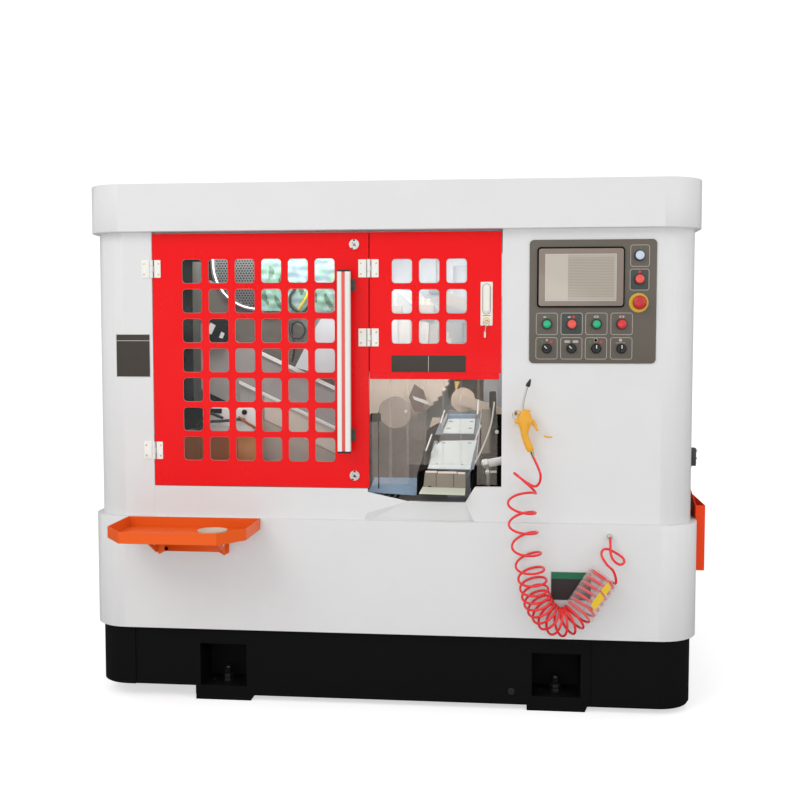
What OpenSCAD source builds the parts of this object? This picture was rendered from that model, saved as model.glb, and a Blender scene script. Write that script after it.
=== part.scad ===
// Enclosed automatic circular sawing machine for bar stock.
// Machine axes: x to the right from the cabinet's middle, y into the machine from the
// front sheets, z up from the floor. in_frame() moves them to the part's own frame,
// whose origin is the middle of the overall footprint on the floor.

/* [Cabinet] */
// Width of the sheet cabinet
body_w = 1950; // [1850:10:2050]
// Depth of the sheet cabinet
body_d = 1400; // [1360:10:1600]
// Plan radius of the cabinet's upright corners
corner_r = 110; // [90:5:125]
// Thickness of the cabinet sheets
sheet_t = 3; // [2:0.5:4]
// Height of the header band above the floor
header_z = 1538; // [1538:1:1580]
// Height of the header band
header_h = 152; // [140:1:180]
// How far the header stands out at each side
header_side = 17; // [10:1:25]
// How far the header stands out at front and back
header_front = 35; // [25:1:45]

/* [Base and skirt] */
// Underside of the base above the floor
base_z = 18; // [15:1:22]
// Wall and deck thickness of the base
base_wall = 12; // [8:1:16]
// Height at which the skirt meets the base
skirt_z = 242; // [236:1:260]
// Height of the ledge on top of the skirt
ledge_z = 610; // [606:1:614]
// How far the skirt stands out at each side
skirt_side = 20; // [12:1:28]
// How far the skirt stands out at front and back
skirt_front = 22; // [16:1:28]
// Thickness of the skirt sheet
skirt_t = 4; // [3:0.5:5]
// Thickness of the proud covers at the ends of the base
cover_t = 4; // [3:0.5:6]
// Width of a foot pocket
pocket_w = 155; // [140:1:170]
// Height of a foot pocket
pocket_h = 141; // [130:1:150]
// Depth of a foot pocket
pocket_d = 130; // [110:5:160]
// Distance between the left and right foot pockets
pocket_span = 1088; // [1040:2:1120]
// Radius of the levelling bolts
bolt_r = 10; // [8:1:12]
// Radius of the anchor holes
anchor_r = 9; // [7:0.5:11]

/* [Doors] */
// Left edge of the door opening
opening_x0 = -767; // [-790:1:-750]
// Right edge of the door opening
opening_x1 = 368.5; // [360:0.5:380]
// Gap round a closed door
door_gap = 3; // [2.5:0.5:4]
// Place of the line where the two doors meet
meeting_x = -55; // [-60:1:-50]
// Lower edge of the main door
main_door_z = 714; // [706:1:720]
// Lower edge of the small door
small_door_z = 1085; // [1075:1:1100]
// Depth of the flanges round a door
door_depth = 20; // [16:1:24]
// How far the door skins stand in front of the cabinet sheets
door_proud = 2; // [1:0.5:3]
// Width of one window in a door
window_w = 65; // [55:1:72]
// Height of one window in a door
window_h = 77; // [66:1:84]
// Corner radius of a window
window_r = 12; // [6:1:16]
// Distance between windows across a door
window_pitch_x = 87; // [80:1:90]
// Distance between windows up a door
window_pitch_z = 96; // [90:1:98]
// Thickness of the clear sheets behind the windows
glazing_t = 4; // [3:0.5:6]
// Outer radius of a hinge barrel
barrel_r = 5.5; // [5:0.1:5.8]
// Radius of a hinge pin
pin_r = 3; // [2.5:0.1:3.4]
// Length of a hinge
hinge_h = 58; // [50:1:64]
// Length of the main handle bar
handle_h = 586; // [540:2:620]
// Width of the main handle bar
handle_w = 44; // [36:1:50]

/* [Operator panel] */
// Width of the operator panel
panel_w = 392; // [380:1:404]
// Height of the operator panel
panel_h = 386; // [376:1:396]
// Place of the panel's middle, across
panel_x = 649; // [640:1:656]
// Place of the panel's middle, up
panel_z = 1310; // [1300:1:1320]
// Thickness of the operator panel's plate
panel_t = 4; // [3:0.5:6]
// Radius of the holes that the push buttons and switches fit
device_r = 11; // [10:0.5:12]
// How far a push button travels
button_travel = 4; // [3:0.5:4.5]

/* [Saw] */
// Radius of the saw blade
blade_r = 230; // [215:1:235]
// Thickness of the saw blade
blade_t = 3; // [2:0.2:4]
// Number of teeth
teeth = 60; // [48:2:80]
// Slope of the feed, down to the right
feed_angle = 30; // [28:1:32]
// Feed travel of the saw head
feed_travel = 160; // [120:5:165]
// Radius of the bar that the vice holds
bar_r = 43.5; // [38:0.5:44]
// Radius of the bore that bars come in through
inlet_r = 78; // [70:1:82]

/* [Front fittings] */
// How far the tool tray reaches in front of the cabinet
tray_reach = 305; // [280:5:320]
// Height of the tool tray's rim above the floor
tray_z = 612; // [606:1:618]
// Height of the tool tray's walls
tray_h = 46; // [36:1:52]
// Thickness of the tray and pocket sheets
tray_t = 2; // [1.5:0.5:3]
// How far the side pocket stands out from the skirt
side_pocket_d = 30; // [24:1:36]

/* [Hidden] */
$fn = 48;
fit = 0.05;
gap = 0.3;
eps = 0.5;
half_w = body_w / 2;
inlet_reach = 60;
shift_x = -side_pocket_d / 2;
shift_y = -(body_d + inlet_reach - tray_reach) / 2;

// Doors
skin_y = -door_proud;
main_x0 = opening_x0 + door_gap - 0.5;
main_x1 = meeting_x - door_gap / 2;
small_x0 = meeting_x + door_gap / 2;
small_x1 = opening_x1 - door_gap;
door_top = header_z - 6;
hinge_x = opening_x0 + 1;
hinge_y = -8;
main_grid = [-666, 797];
small_grid = [17.5, 1178];

// Discharge opening in the sill
sill_step = [[284, 721], [254, 671], [70, 671], [-60, 700]];

// Places of the push buttons and switches on the operator panel, across and up
white_button_at = [142.4, 142.4];
stop_button_at = [142.9, 69.4];
estop_at = [141.6, -3.8];
button_row_z = -70;
selector_row_z = -146.5;
device_x = [-141, -64, 12.4, 90.2];
DEVICES = concat([white_button_at, stop_button_at, estop_at],
    [for (x = device_x) [x, button_row_z]], [for (x = device_x) [x, selector_row_z]]);

// Saw, vice and chute
blade_x = -37.5;
blade_z = 1121;
blade_y = 500;
bar_x = 224.6;
bar_z = 971;
head_y = blade_y + 12;
head_back = 702;
rail_y = head_back + gap;
bed_y = rail_y + 30;
bed_d = 255;
cowl_u = -558;
cowl_v = 63;
spindle_r = 25;
floor_z = ledge_z - skirt_t;
vice_y0 = blade_y + 40;
vice_d = 200;
jaw_open = 75;
chute_x0 = 133;
chute_x1 = 277;
stop_rod = [350, 930];

// Hose: hand-chosen routes of the air line, outside the coil
HOSE_UPPER = [[468, -42, 825], [470, -44, 808], [464, -54, 786], [444, -66, 768], [436, -70, 750]];
HOSE_COIL = [[436, -70, 750], [433, -70, 690], [431, -70, 600], [437, -70, 520], [452, -70, 430],
    [482, -70, 350], [530, -70, 307], [580, -70, 300], [632, -70, 322], [672, -70, 375],
    [700, -70, 440], [714, -70, 490]];
HOSE_LOWER = [[714, -70, 490], [717, -70, 510], [717, -66, 530], [713, -58, 552], [709, -50, 567],
    [709, -40, 574]];
hose_r = 4;
coil_r = 45;

// ---- helpers ----

module in_frame() {
    translate([shift_x, shift_y, 0]) children();
}

// Flat outline with round corners, from corner to corner
module rounded(x0, y0, x1, y1, r) {
    translate([x0 + r, y0]) square([x1 - x0 - 2 * r, y1 - y0]);
    translate([x0, y0 + r]) square([x1 - x0, y1 - y0 - 2 * r]);
    for (x = [x0 + r, x1 - r], y = [y0 + r, y1 - r]) {
        translate([x, y]) circle(r);
    }
}

// Plan outline of the cabinet, grown by side in x and by front in y
module plan(side, front) {
    rounded(-half_w - side, -front, half_w + side, body_d + front, corner_r + min(side, front));
}

// A plate that stands along x and z, from an outline in those two
module front_plate(y0, thick) {
    translate([0, y0 + thick, 0]) rotate([90, 0, 0]) linear_extrude(thick) children();
}

// A plate that stands along y and z, from an outline in those two
module side_plate(x0, thick) {
    translate([x0, 0, 0]) rotate([90, 0, 90]) linear_extrude(thick) children();
}

// A round bar along y
module peg(x, z, y0, y1, r) {
    translate([x, y1, z]) rotate([90, 0, 0]) cylinder(h = y1 - y0, r = r);
}

// A round bar along x
module rod(x0, x1, y, z, r) {
    translate([x0, y, z]) rotate([0, 90, 0]) cylinder(h = x1 - x0, r = r);
}

module box(x0, y0, z0, x1, y1, z1) {
    translate([x0, y0, z0]) cube([x1 - x0, y1 - y0, z1 - z0]);
}

// Local x runs down the feed and local z square to it, from the blade's middle
module along_feed() {
    translate([blade_x, 0, blade_z]) rotate([0, feed_angle, 0]) children();
}

// Corners of a convex outline, moved inwards by d (outline runs anticlockwise)
function side_normal(a, b) = [a[1] - b[1], b[0] - a[0]] / norm(b - a);
function inset(p, d) = [for (i = [0:len(p) - 1])
    let (n = len(p), b = p[i], m = side_normal(p[(i + n - 1) % n], b), k = side_normal(b, p[(i + 1) % n]))
    b + d * (m + k) / (1 + m * k)];

// A tube swept along points, ring by ring, with its sides kept level with y
function unit(v) = v / norm(v);
function heading(p, i) = unit(p[min(i + 1, len(p) - 1)] - p[max(i - 1, 0)]);
function ring(c, t, r, n) = let (a = unit(cross(t, [0, 1, 0.001])), b = cross(t, a))
    [for (k = [0:n - 1]) c + r * (a * cos(360 * k / n) + b * sin(360 * k / n))];
function between(a, b, c, d, t) = 0.5 * (2 * b + (c - a) * t + (2 * a - 5 * b + 4 * c - d) * t * t
    + (3 * b - a - 3 * c + d) * t * t * t);
function smooth(p, n) = concat([for (i = [0:len(p) - 2], k = [0:n - 1])
    between(p[max(i - 1, 0)], p[i], p[i + 1], p[min(i + 2, len(p) - 1)], k / n)], [p[len(p) - 1]]);
module tube(points, r, n) {
    m = len(points);
    rings = [for (i = [0:m - 1]) each ring(points[i], heading(points, i), r, n)];
    polyhedron(points = rings, faces = concat([[for (k = [0:n - 1]) k]],
        [for (i = [0:m - 2], k = [0:n - 1])
            [i * n + k, (i + 1) * n + k, (i + 1) * n + (k + 1) % n, i * n + (k + 1) % n]],
        [[for (k = [n - 1:-1:0]) (m - 1) * n + k]]));
}

// ---- base and skirt ----

// Left edges of the two foot pockets, measured from the cabinet's middle
pocket_lefts = [2 - pocket_span / 2 - pocket_w / 2 - 0.5, 2 + pocket_span / 2 - pocket_w / 2 + 1];
pocket_floor = base_z + 29;
step_x = -637;
step_z = 46;

module at_feet() {
    for (x = pocket_lefts) {
        translate([x, 0, 0]) children();
        translate([x, body_d, 0]) mirror([0, 1, 0]) children();
    }
}

module base_frame() in_frame() color("#141416") difference() {
    union() {
        difference() {
            translate([0, 0, base_z]) linear_extrude(skirt_z - base_z) plan(0, 0);
            translate([0, 0, base_z - eps]) linear_extrude(skirt_z - base_z - base_wall + eps)
                plan(-base_wall, -base_wall);
        }
        at_feet() box(-base_wall, base_wall / 2, base_z, pocket_w + base_wall, pocket_d + base_wall,
            pocket_floor + pocket_h + base_wall);
    }
    at_feet() {
        box(0, -eps, pocket_floor, pocket_w, pocket_d, pocket_floor + pocket_h);
        translate([pocket_w / 2, pocket_d / 2, base_z - eps]) cylinder(h = 40, r = bolt_r + fit);
        translate([pocket_w / 5, pocket_d / 2, base_z - eps]) cylinder(h = 40, r = anchor_r);
    }
    box(-half_w - eps, -eps, base_z - eps, step_x, body_d + eps, step_z);
}

module base_end_covers() in_frame() color("#101012") {
    translate([0, 0, step_z]) linear_extrude(skirt_z - step_z) cover_plan(-half_w - 50, -840);
    translate([0, 0, base_z + 7]) linear_extrude(skirt_z - base_z - 7) cover_plan(658, half_w + 50);
}

module cover_plan(x0, x1) {
    intersection() {
        difference() {
            plan(cover_t, cover_t);
            plan(0, 0);
        }
        translate([x0, -100]) square([x1 - x0, body_d + 200]);
    }
}

module levelling_feet() in_frame() color("#1c1c1e") at_feet() {
    difference() {
        translate([0, pocket_d, 0]) rotate([90, 0, 0]) linear_extrude(pocket_d)
            polygon([[-16, 0], [pocket_w + 14, 0], [pocket_w + 22, base_z], [-16, base_z]]);
        translate([pocket_w / 5, pocket_d / 2, -eps]) cylinder(h = base_z + 1, r = anchor_r);
    }
    translate([pocket_w / 2, pocket_d / 2, 0]) {
        translate([0, 0, base_z]) cylinder(h = 58, r = bolt_r);
        translate([0, 0, base_z + 58]) cylinder(h = 13, r = bolt_r * 1.7, $fn = 6);
        difference() {
            translate([0, 0, pocket_floor]) cylinder(h = 14, r = bolt_r * 1.7, $fn = 6);
            translate([0, 0, pocket_floor - eps]) cylinder(h = 15, r = bolt_r + fit);
        }
    }
}

port_x = 709;
port_z = 574;

module skirt_shell() in_frame() color("#f3f3f3") difference() {
    union() {
        translate([0, 0, skirt_z]) linear_extrude(ledge_z - skirt_z) difference() {
            plan(skirt_side, skirt_front);
            plan(skirt_side - skirt_t, skirt_front - skirt_t);
        }
        translate([0, 0, ledge_z - skirt_t]) linear_extrude(skirt_t) difference() {
            plan(skirt_side - 1, skirt_front - 1);
            plan(-20, -20);
        }
        translate([0, 0, skirt_z]) linear_extrude(skirt_t) difference() {
            plan(skirt_side - 1, skirt_front - 1);
            plan(-30, -30);
        }
    }
    peg(port_x, port_z, -skirt_front - eps, -skirt_front + skirt_t + eps, 8);
}

module sump_floor() in_frame() color("#b9bcc0") difference() {
    translate([0, 0, floor_z - 3]) linear_extrude(3)
        plan(skirt_side - skirt_t, skirt_front - skirt_t);
    for (i = [0:7]) {
        box(-180 + 22 * i, 500, floor_z - 4, -168 + 22 * i, 720, floor_z + 1);
    }
}

// ---- cabinet sheets ----

wall_h = header_z - ledge_z;
flange_d = 40;

// Quarter round of sheet at one upright corner: sx and sy point to the corner
module corner_plan(sx, sy) {
    cx = sx * (half_w - corner_r);
    cy = sy < 0 ? corner_r : body_d - corner_r;
    intersection() {
        translate([cx, cy]) difference() {
            circle(corner_r);
            circle(corner_r - sheet_t);
        }
        translate([sx < 0 ? -half_w : cx, sy < 0 ? 0 : cy]) square(corner_r);
    }
}

module front_left_panel() in_frame() color("#f6f6f6")
    translate([0, 0, ledge_z]) linear_extrude(wall_h) {
        corner_plan(-1, -1);
        translate([corner_r - half_w, 0]) square([opening_x0 + half_w - corner_r, sheet_t]);
        translate([opening_x0 - sheet_t, sheet_t - 1]) square([sheet_t, flange_d]);
    }

module front_right_panel() in_frame() color("#f6f6f6") difference() {
    translate([0, 0, ledge_z]) linear_extrude(wall_h) {
        corner_plan(1, -1);
        translate([opening_x1, 0]) square([half_w - corner_r - opening_x1, sheet_t]);
        translate([opening_x1, sheet_t - 1]) square([sheet_t, flange_d]);
    }
    for (p = DEVICES) {
        peg(panel_x + p[0], panel_z + p[1], -eps, sheet_t + eps, device_r);
    }
}

module sill_panel() in_frame() color("#f1f1f1") {
    front_plate(0, sheet_t) polygon(concat(
        [[opening_x0, ledge_z], [opening_x1, ledge_z], [opening_x1, sill_step[0][1]]], sill_step,
        [[sill_step[3][0], main_door_z - door_gap], [opening_x0, main_door_z - door_gap]]));
    box(opening_x0, sheet_t - 1, main_door_z - door_gap - sheet_t, sill_step[3][0], flange_d,
        main_door_z - door_gap);
    box(sill_step[2][0], sheet_t - 1, sill_step[2][1] - sheet_t, sill_step[1][0], flange_d, sill_step[2][1]);
}

module side_sheet(x0) {
    box(x0, corner_r, ledge_z, x0 + sheet_t, body_d - corner_r, header_z);
}

module left_side_panel() in_frame() color("#f4f4f4") side_sheet(-half_w);

module right_side_panel() in_frame() color("#f4f4f4") side_sheet(half_w - sheet_t);

module rear_panel() in_frame() color("#f2f2f2") difference() {
    union() {
        translate([0, 0, ledge_z]) linear_extrude(wall_h) {
            corner_plan(-1, 1);
            corner_plan(1, 1);
            translate([corner_r - half_w, body_d - sheet_t]) square([body_w - 2 * corner_r, sheet_t]);
        }
        peg(bar_x, bar_z, body_d - 40, body_d + inlet_reach, inlet_r + 15);
        peg(bar_x, bar_z, body_d, body_d + 12, inlet_r + 40);
    }
    peg(bar_x, bar_z, body_d - 41, body_d + inlet_reach + eps, inlet_r);
    for (i = [0:9], x = [-620, -470]) {
        box(x, body_d - sheet_t - eps, 1180 + 22 * i, x + 120, body_d + eps, 1188 + 22 * i);
    }
}

module header_lid() in_frame() color("#f7f7f7") {
    translate([0, 0, header_z]) linear_extrude(header_h) difference() {
        plan(header_side, header_front);
        plan(header_side - sheet_t, header_front - sheet_t);
    }
    translate([0, 0, header_z + header_h - sheet_t]) linear_extrude(sheet_t)
        plan(header_side - 1, header_front - 1);
    translate([0, 0, header_z]) linear_extrude(sheet_t) difference() {
        plan(header_side - 1, header_front - 1);
        plan(-30, -30);
    }
    box(opening_x0, door_depth + 4, header_z - 40, opening_x1, door_depth + 4 + sheet_t, header_z + 1);
}

module inner_wall() in_frame() color("#dfe6e6") difference() {
    box(-half_w + sheet_t, bed_y + bed_d, ledge_z, half_w - sheet_t, bed_y + bed_d + sheet_t, header_z);
    peg(bar_x, bar_z, bed_y, bed_y + bed_d + 10, inlet_r + 8);
}

// ---- hinges and doors ----

knuckles = 5;
leaf_t = 3;

// Knuckles first, first + 2 ... of one hinge on the pin at [x, hinge_y], leaf towards side
module hinge_half(x, z0, side, leaf_w, first, back_y) {
    k_h = hinge_h / knuckles;
    difference() {
        union() {
            translate([side > 0 ? x + barrel_r + 1 : x - leaf_w, back_y - leaf_t, z0])
                cube([leaf_w - barrel_r - 1, leaf_t, hinge_h]);
            for (k = [first:2:knuckles - 1]) {
                translate([x, hinge_y, z0 + k * k_h + gap / 2]) cylinder(h = k_h - gap, r = barrel_r);
                translate([side > 0 ? x : x - barrel_r - 2, back_y - leaf_t, z0 + k * k_h + gap / 2])
                    cube([barrel_r + 2, leaf_t, k_h - gap]);
            }
        }
        translate([x, hinge_y, z0 - eps]) cylinder(h = hinge_h + 1, r = pin_r + fit);
    }
}

module hinge_pin(x, z0) {
    translate([x, hinge_y, z0]) cylinder(h = hinge_h, r = pin_r);
    translate([x, hinge_y, z0 - 2]) cylinder(h = 2, r = barrel_r);
    translate([x, hinge_y, z0 + hinge_h]) cylinder(h = 2, r = barrel_r);
}

main_hinge_zs = [799, 1390.5];
small_hinge_zs = [1169, 1388.5];

module hinge_leaves_fixed() in_frame() color("#d9d6cd") for (z = main_hinge_zs) {
    hinge_half(hinge_x, z, -1, 35, 0, 0);
    hinge_pin(hinge_x, z);
}

module hinge_leaves_door() in_frame() color("#d9d6cd") {
    for (z = main_hinge_zs) {
        hinge_half(hinge_x, z, 1, 29, 1, skin_y);
    }
    for (z = small_hinge_zs) {
        hinge_half(meeting_x, z, -1, 34, 0, skin_y);
        hinge_pin(meeting_x, z);
    }
}

// Rows of round-cornered windows from the lower left one up
module window_grid(origin, columns, rows, grow) {
    for (i = [0:columns - 1], j = [0:rows - 1]) {
        translate([origin[0] + i * window_pitch_x, origin[1] + j * window_pitch_z])
            rounded(-grow, -grow, window_w + grow, window_h + grow, window_r + grow);
    }
}

module door_shell(x0, z0, x1, z1) {
    front_plate(skin_y, sheet_t) difference() {
        translate([x0, z0]) square([x1 - x0, z1 - z0]);
        children();
    }
    front_plate(skin_y + sheet_t - 1, door_depth - sheet_t + 1) difference() {
        translate([x0, z0]) square([x1 - x0, z1 - z0]);
        translate([x0 + sheet_t, z0 + sheet_t]) square([x1 - x0 - 2 * sheet_t, z1 - z0 - 2 * sheet_t]);
    }
}

lock_x = -102.4;
lock_zs = [753.5, 1493.7];
lock_hole_r = 9;
lever_x = 319;
lever_z = 1354;
lever_shaft_r = 6;

module main_door() in_frame() color("#f01020") difference() {
    door_shell(main_x0, main_door_z, main_x1, door_top) window_grid(main_grid, 6, 7, 0);
    for (z = lock_zs) {
        peg(lock_x, z, skin_y - eps, skin_y + sheet_t + eps, lock_hole_r + fit);
    }
}

module glazing(origin, columns, rows, margin) {
    w = (columns - 1) * window_pitch_x + window_w;
    h = (rows - 1) * window_pitch_z + window_h;
    front_plate(skin_y + sheet_t, glazing_t) translate([origin[0] - margin, origin[1] - margin])
        square([w + 2 * margin, h + 2 * margin]);
}

module main_door_glazing() in_frame() color("#bfe8e0", 0.35) glazing(main_grid, 6, 7, 22);

module small_door_glazing() in_frame() color("#bfe8e0", 0.35) glazing(small_grid, 3, 3, 18);

handle_x = -135.5;
handle_z0 = 827;
handle_y0 = -62;
handle_t = 22;
cap_h = 6;

module door_handle() in_frame() {
    color("#f4efdf") box(handle_x - handle_w / 2, handle_y0, handle_z0 + cap_h, handle_x + handle_w / 2,
        handle_y0 + handle_t, handle_z0 + handle_h - cap_h);
    for (z = [handle_z0, handle_z0 + handle_h - cap_h]) {
        color("#151515") box(handle_x - handle_w / 2, handle_y0, z, handle_x + handle_w / 2,
            handle_y0 + handle_t, z + cap_h);
    }
    for (z = [handle_z0 + 38, handle_z0 + handle_h - 68]) {
        color("#6f7070") union() {
            box(handle_x - 12, handle_y0 + handle_t, z, handle_x + 12, skin_y, z + 40);
            box(handle_x - 20, skin_y - 3, z, handle_x + 37, skin_y, z + 40);
        }
    }
}

// Quarter-turn lock: a slotted head in front, and a tongue behind the skin
module quarter_lock(z) {
    difference() {
        peg(lock_x, z, skin_y - 4, skin_y - gap, 16);
        translate([lock_x, skin_y - 4, z]) rotate([0, 45, 0]) cube([16, 3, 3], center = true);
    }
    peg(lock_x, z, skin_y - 1, skin_y + sheet_t + 10, lock_hole_r);
    box(lock_x - 32, skin_y + sheet_t + 6, z - 8, lock_x + 9, skin_y + sheet_t + 9, z + 8);
}

module upper_lock() in_frame() color("#c9c9c4") quarter_lock(lock_zs[1]);

module lower_lock() in_frame() color("#c9c9c4") quarter_lock(lock_zs[0]);

module small_door() in_frame() color("#f01020") difference() {
    door_shell(small_x0, small_door_z, small_x1, door_top) window_grid(small_grid, 3, 3, 0);
    peg(lever_x, lever_z, skin_y - eps, skin_y + sheet_t + eps, lever_shaft_r + fit);
}

module small_door_hardware() in_frame() color("#dcdcd6") {
    for (z = small_hinge_zs) {
        hinge_half(meeting_x, z, 1, 31, 1, skin_y);
    }
    difference() {
        front_plate(skin_y - 3, 3) rounded(lever_x - 19, 1235.6, lever_x + 19, 1373, 6);
        peg(lever_x, lever_z, skin_y - 4, skin_y + eps, lever_shaft_r + fit);
    }
    peg(lever_x, 1252.4, skin_y - 8, skin_y - 3, 9);
}

module latch_lever() in_frame() color("#f2f2ee") {
    front_plate(skin_y - 13, 13 - 3 - gap) union() {
        translate([lever_x, lever_z]) circle(12.4);
        translate([lever_x - 12.4, 1277.6]) square([24.8, lever_z - 1277.6]);
    }
    peg(lever_x, lever_z, skin_y - 4, skin_y + sheet_t + 10, lever_shaft_r);
    box(lever_x - 8, skin_y + sheet_t + 6, lever_z - 30, lever_x + 8, skin_y + sheet_t + 9, lever_z + 8);
}

rail_h = 20;
rail_x1 = small_x1 - 6;
rail_bottom = small_door_z - rail_h;
hanger_y = 8;
hanger_z = rail_bottom + 7;

module curtain_rail() in_frame() color("#e8101f") {
    difference() {
        box(small_x0, skin_y, rail_bottom, rail_x1, door_depth + skin_y, small_door_z);
        box(small_x0 + 3, skin_y + sheet_t, rail_bottom - eps, rail_x1 - 3, door_depth + skin_y - sheet_t,
            small_door_z - sheet_t);
    }
    rod(small_x0 + 2, rail_x1 - 2, hanger_y, hanger_z, pin_r);
}

strip_w = 64;
strips = 7;
strip_t = 2;
strip_low = 728;
strip_over_chute = 790;

module strip_curtain() in_frame() color("#e8ecea", 0.4) {
    x0 = small_x0 + 5;
    x1 = rail_x1 - 5;
    pitch = (x1 - x0 - strip_w) / (strips - 1);
    difference() {
        box(x0, hanger_y - 5, hanger_z - 5, x1, hanger_y + 5, hanger_z + 5);
        rod(x0 - eps, x1 + eps, hanger_y, hanger_z, pin_r + fit);
    }
    for (i = [0:strips - 1]) {
        x = x0 + i * pitch;
        low = x + strip_w > chute_x0 - 24 && x < chute_x1 + 6 ? strip_over_chute : strip_low;
        y = i % 2 == 0 ? hanger_y - strip_t - 0.2 : hanger_y + 0.2;
        box(x, y, low, x + strip_w, y + strip_t, hanger_z - 5);
    }
}

// ---- operator panel ----

bezel_t = 5;
bezel_r = 15;
estop_collar = 18;

module at_device(p) {
    translate([panel_x + p[0], 0, panel_z + p[1]]) children();
}

module operator_panel() in_frame() {
    color("#6d6a66") difference() {
        front_plate(-panel_t, panel_t) rounded(panel_x - panel_w / 2, panel_z - panel_h / 2,
            panel_x + panel_w / 2, panel_z + panel_h / 2, 14);
        for (p = DEVICES) {
            peg(panel_x + p[0], panel_z + p[1], -panel_t - eps, eps, device_r);
        }
    }
    for (p = DEVICES) {
        collar = p == estop_at ? estop_collar : bezel_t;
        color("#c8c8c8") at_device(p) difference() {
            peg(0, 0, -panel_t - collar, -panel_t, bezel_r);
            peg(0, 0, -panel_t - collar - eps, -panel_t + eps, device_r);
        }
    }
    color("#f6c915") at_device(estop_at) difference() {
        peg(0, 0, -panel_t - 2, -panel_t, 29);
        peg(0, 0, -panel_t - 3, -panel_t + eps, bezel_r);
    }
}

module touch_screen() in_frame() {
    color("#77746f") front_plate(-panel_t - 8, 8) difference() {
        rounded(panel_x - 172.5, panel_z - 18.4, panel_x + 97.6, panel_z + 169.7, 5);
        rounded(panel_x - 146.3, panel_z + 2, panel_x + 71, panel_z + 149.6, 2);
    }
    color("#c9cdd0") front_plate(-panel_t - 5, 5)
        rounded(panel_x - 146.3, panel_z + 2, panel_x + 71, panel_z + 149.6, 2);
}

// A push button: its head and its stem, which slides in the bezel
module push_button(p) at_device(p) {
    peg(0, 0, -panel_t - bezel_t - button_travel - 1, 20, device_r - fit);
}

module white_button() in_frame() color("#eef2f6") push_button(white_button_at);

module stop_button() in_frame() color("#d8202a") push_button(stop_button_at);

module row_button_1() in_frame() color("#1fa35a") push_button([device_x[0], button_row_z]);

module row_button_2() in_frame() color("#e2402c") push_button([device_x[1], button_row_z]);

module row_button_3() in_frame() color("#1fa35a") push_button([device_x[2], button_row_z]);

module row_button_4() in_frame() color("#d8202a") push_button([device_x[3], button_row_z]);

module estop_head() in_frame() color("#d81e24") at_device(estop_at) {
    front = -panel_t - estop_collar - button_travel - 2;
    peg(0, 0, front - 8, front, 20);
    peg(0, 0, front - 14, front - 8, 18);
    peg(0, 0, front - 1, 20, device_r - fit);
}

// A selector: a round collar, a stem and a finger bar turned by angle
module selector(x, angle) at_device([x, selector_row_z]) {
    front = -panel_t - bezel_t - gap;
    peg(0, 0, front - 4, front, 13);
    peg(0, 0, front - 1, 20, device_r - fit);
    rotate([0, angle, 0]) box(-4, front - 16, -12.5, 4, front - 3, 12.5);
}

module selector_1() in_frame() color("#17181a") selector(device_x[0], -45);

module selector_2() in_frame() color("#17181a") selector(device_x[1], -45);

module selector_3() in_frame() color("#17181a") selector(device_x[2], 0);

module selector_4() in_frame() color("#17181a") selector(device_x[3], 0);

// ---- tool tray, side pocket and air line ----

tray_x0 = 125 - half_w;
tray_x1 = tray_x0 + 441;
tray_back = -skirt_front;
tray_chamfer_x = 69;
tray_chamfer_y = 92;
TRAY = [[tray_x0, tray_back], [tray_x0, tray_chamfer_y - tray_reach], [tray_x0 + tray_chamfer_x, -tray_reach],
    [tray_x1 - tray_chamfer_x, -tray_reach], [tray_x1, tray_chamfer_y - tray_reach], [tray_x1, tray_back]];
cup_x = tray_x0 + 287;
cup_y = -150;
cup_r = 50;

module tool_tray() in_frame() {
    color("#ff6a1c") translate([0, 0, tray_z - tray_h]) difference() {
        linear_extrude(tray_h) polygon(TRAY);
        translate([0, 0, tray_t]) linear_extrude(tray_h) polygon(inset(TRAY, tray_t));
    }
    color("#d9cdb6") translate([cup_x, cup_y, tray_z - tray_h + tray_t]) cylinder(h = 4, r = cup_r);
}

bracket_x0 = tray_x0 + 95;
bracket_x1 = tray_x0 + 329;
bracket_z0 = 487;

module tray_bracket() in_frame() color("#f26a20") difference() {
    tray_floor = tray_z - tray_h;
    union() {
        front_plate(tray_back - 4, 4) translate([bracket_x0, bracket_z0])
            square([bracket_x1 - bracket_x0, tray_floor - bracket_z0]);
        for (x = [bracket_x0 + 4, bracket_x1 - 8]) {
            side_plate(x, 4) difference() {
                polygon([[tray_back - 3, tray_floor], [tray_back - 210, tray_floor],
                    [tray_back - 210, tray_floor - 12], [tray_back - 3, bracket_z0]]);
                translate([tray_back - 55, tray_floor - 28]) circle(13);
            }
        }
    }
    for (x = [bracket_x0 + 32, bracket_x1 - 14 - 20]) {
        peg(x, bracket_z0 + 21, tray_back - 5, tray_back + eps, 5);
    }
}

side_y0 = 120;
side_w = 260;
side_z0 = 442;
side_z1 = 655;
flap_z = 711;

// Open-topped pocket on the skirt's side, with its back leaning on the cabinet above
module side_pocket() in_frame() color("#ff7a2a") {
    x0 = half_w + skirt_side;
    difference() {
        box(x0, side_y0, side_z0, x0 + side_pocket_d, side_y0 + side_w, side_z1);
        box(x0 + tray_t, side_y0 + tray_t, side_z0 + tray_t, x0 + side_pocket_d - tray_t,
            side_y0 + side_w - tray_t, side_z1 + eps);
    }
    translate([0, side_y0 + side_w, 0]) rotate([90, 0, 0]) linear_extrude(side_w)
        polygon([[x0, side_z1 - 3], [x0 + tray_t, side_z1 - 3], [x0 + tray_t, side_z1],
            [half_w + tray_t, flap_z], [half_w, flap_z], [x0, side_z1]]);
}

hook_x = 413;
hook_z = 958;
gun_y = -42;

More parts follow.
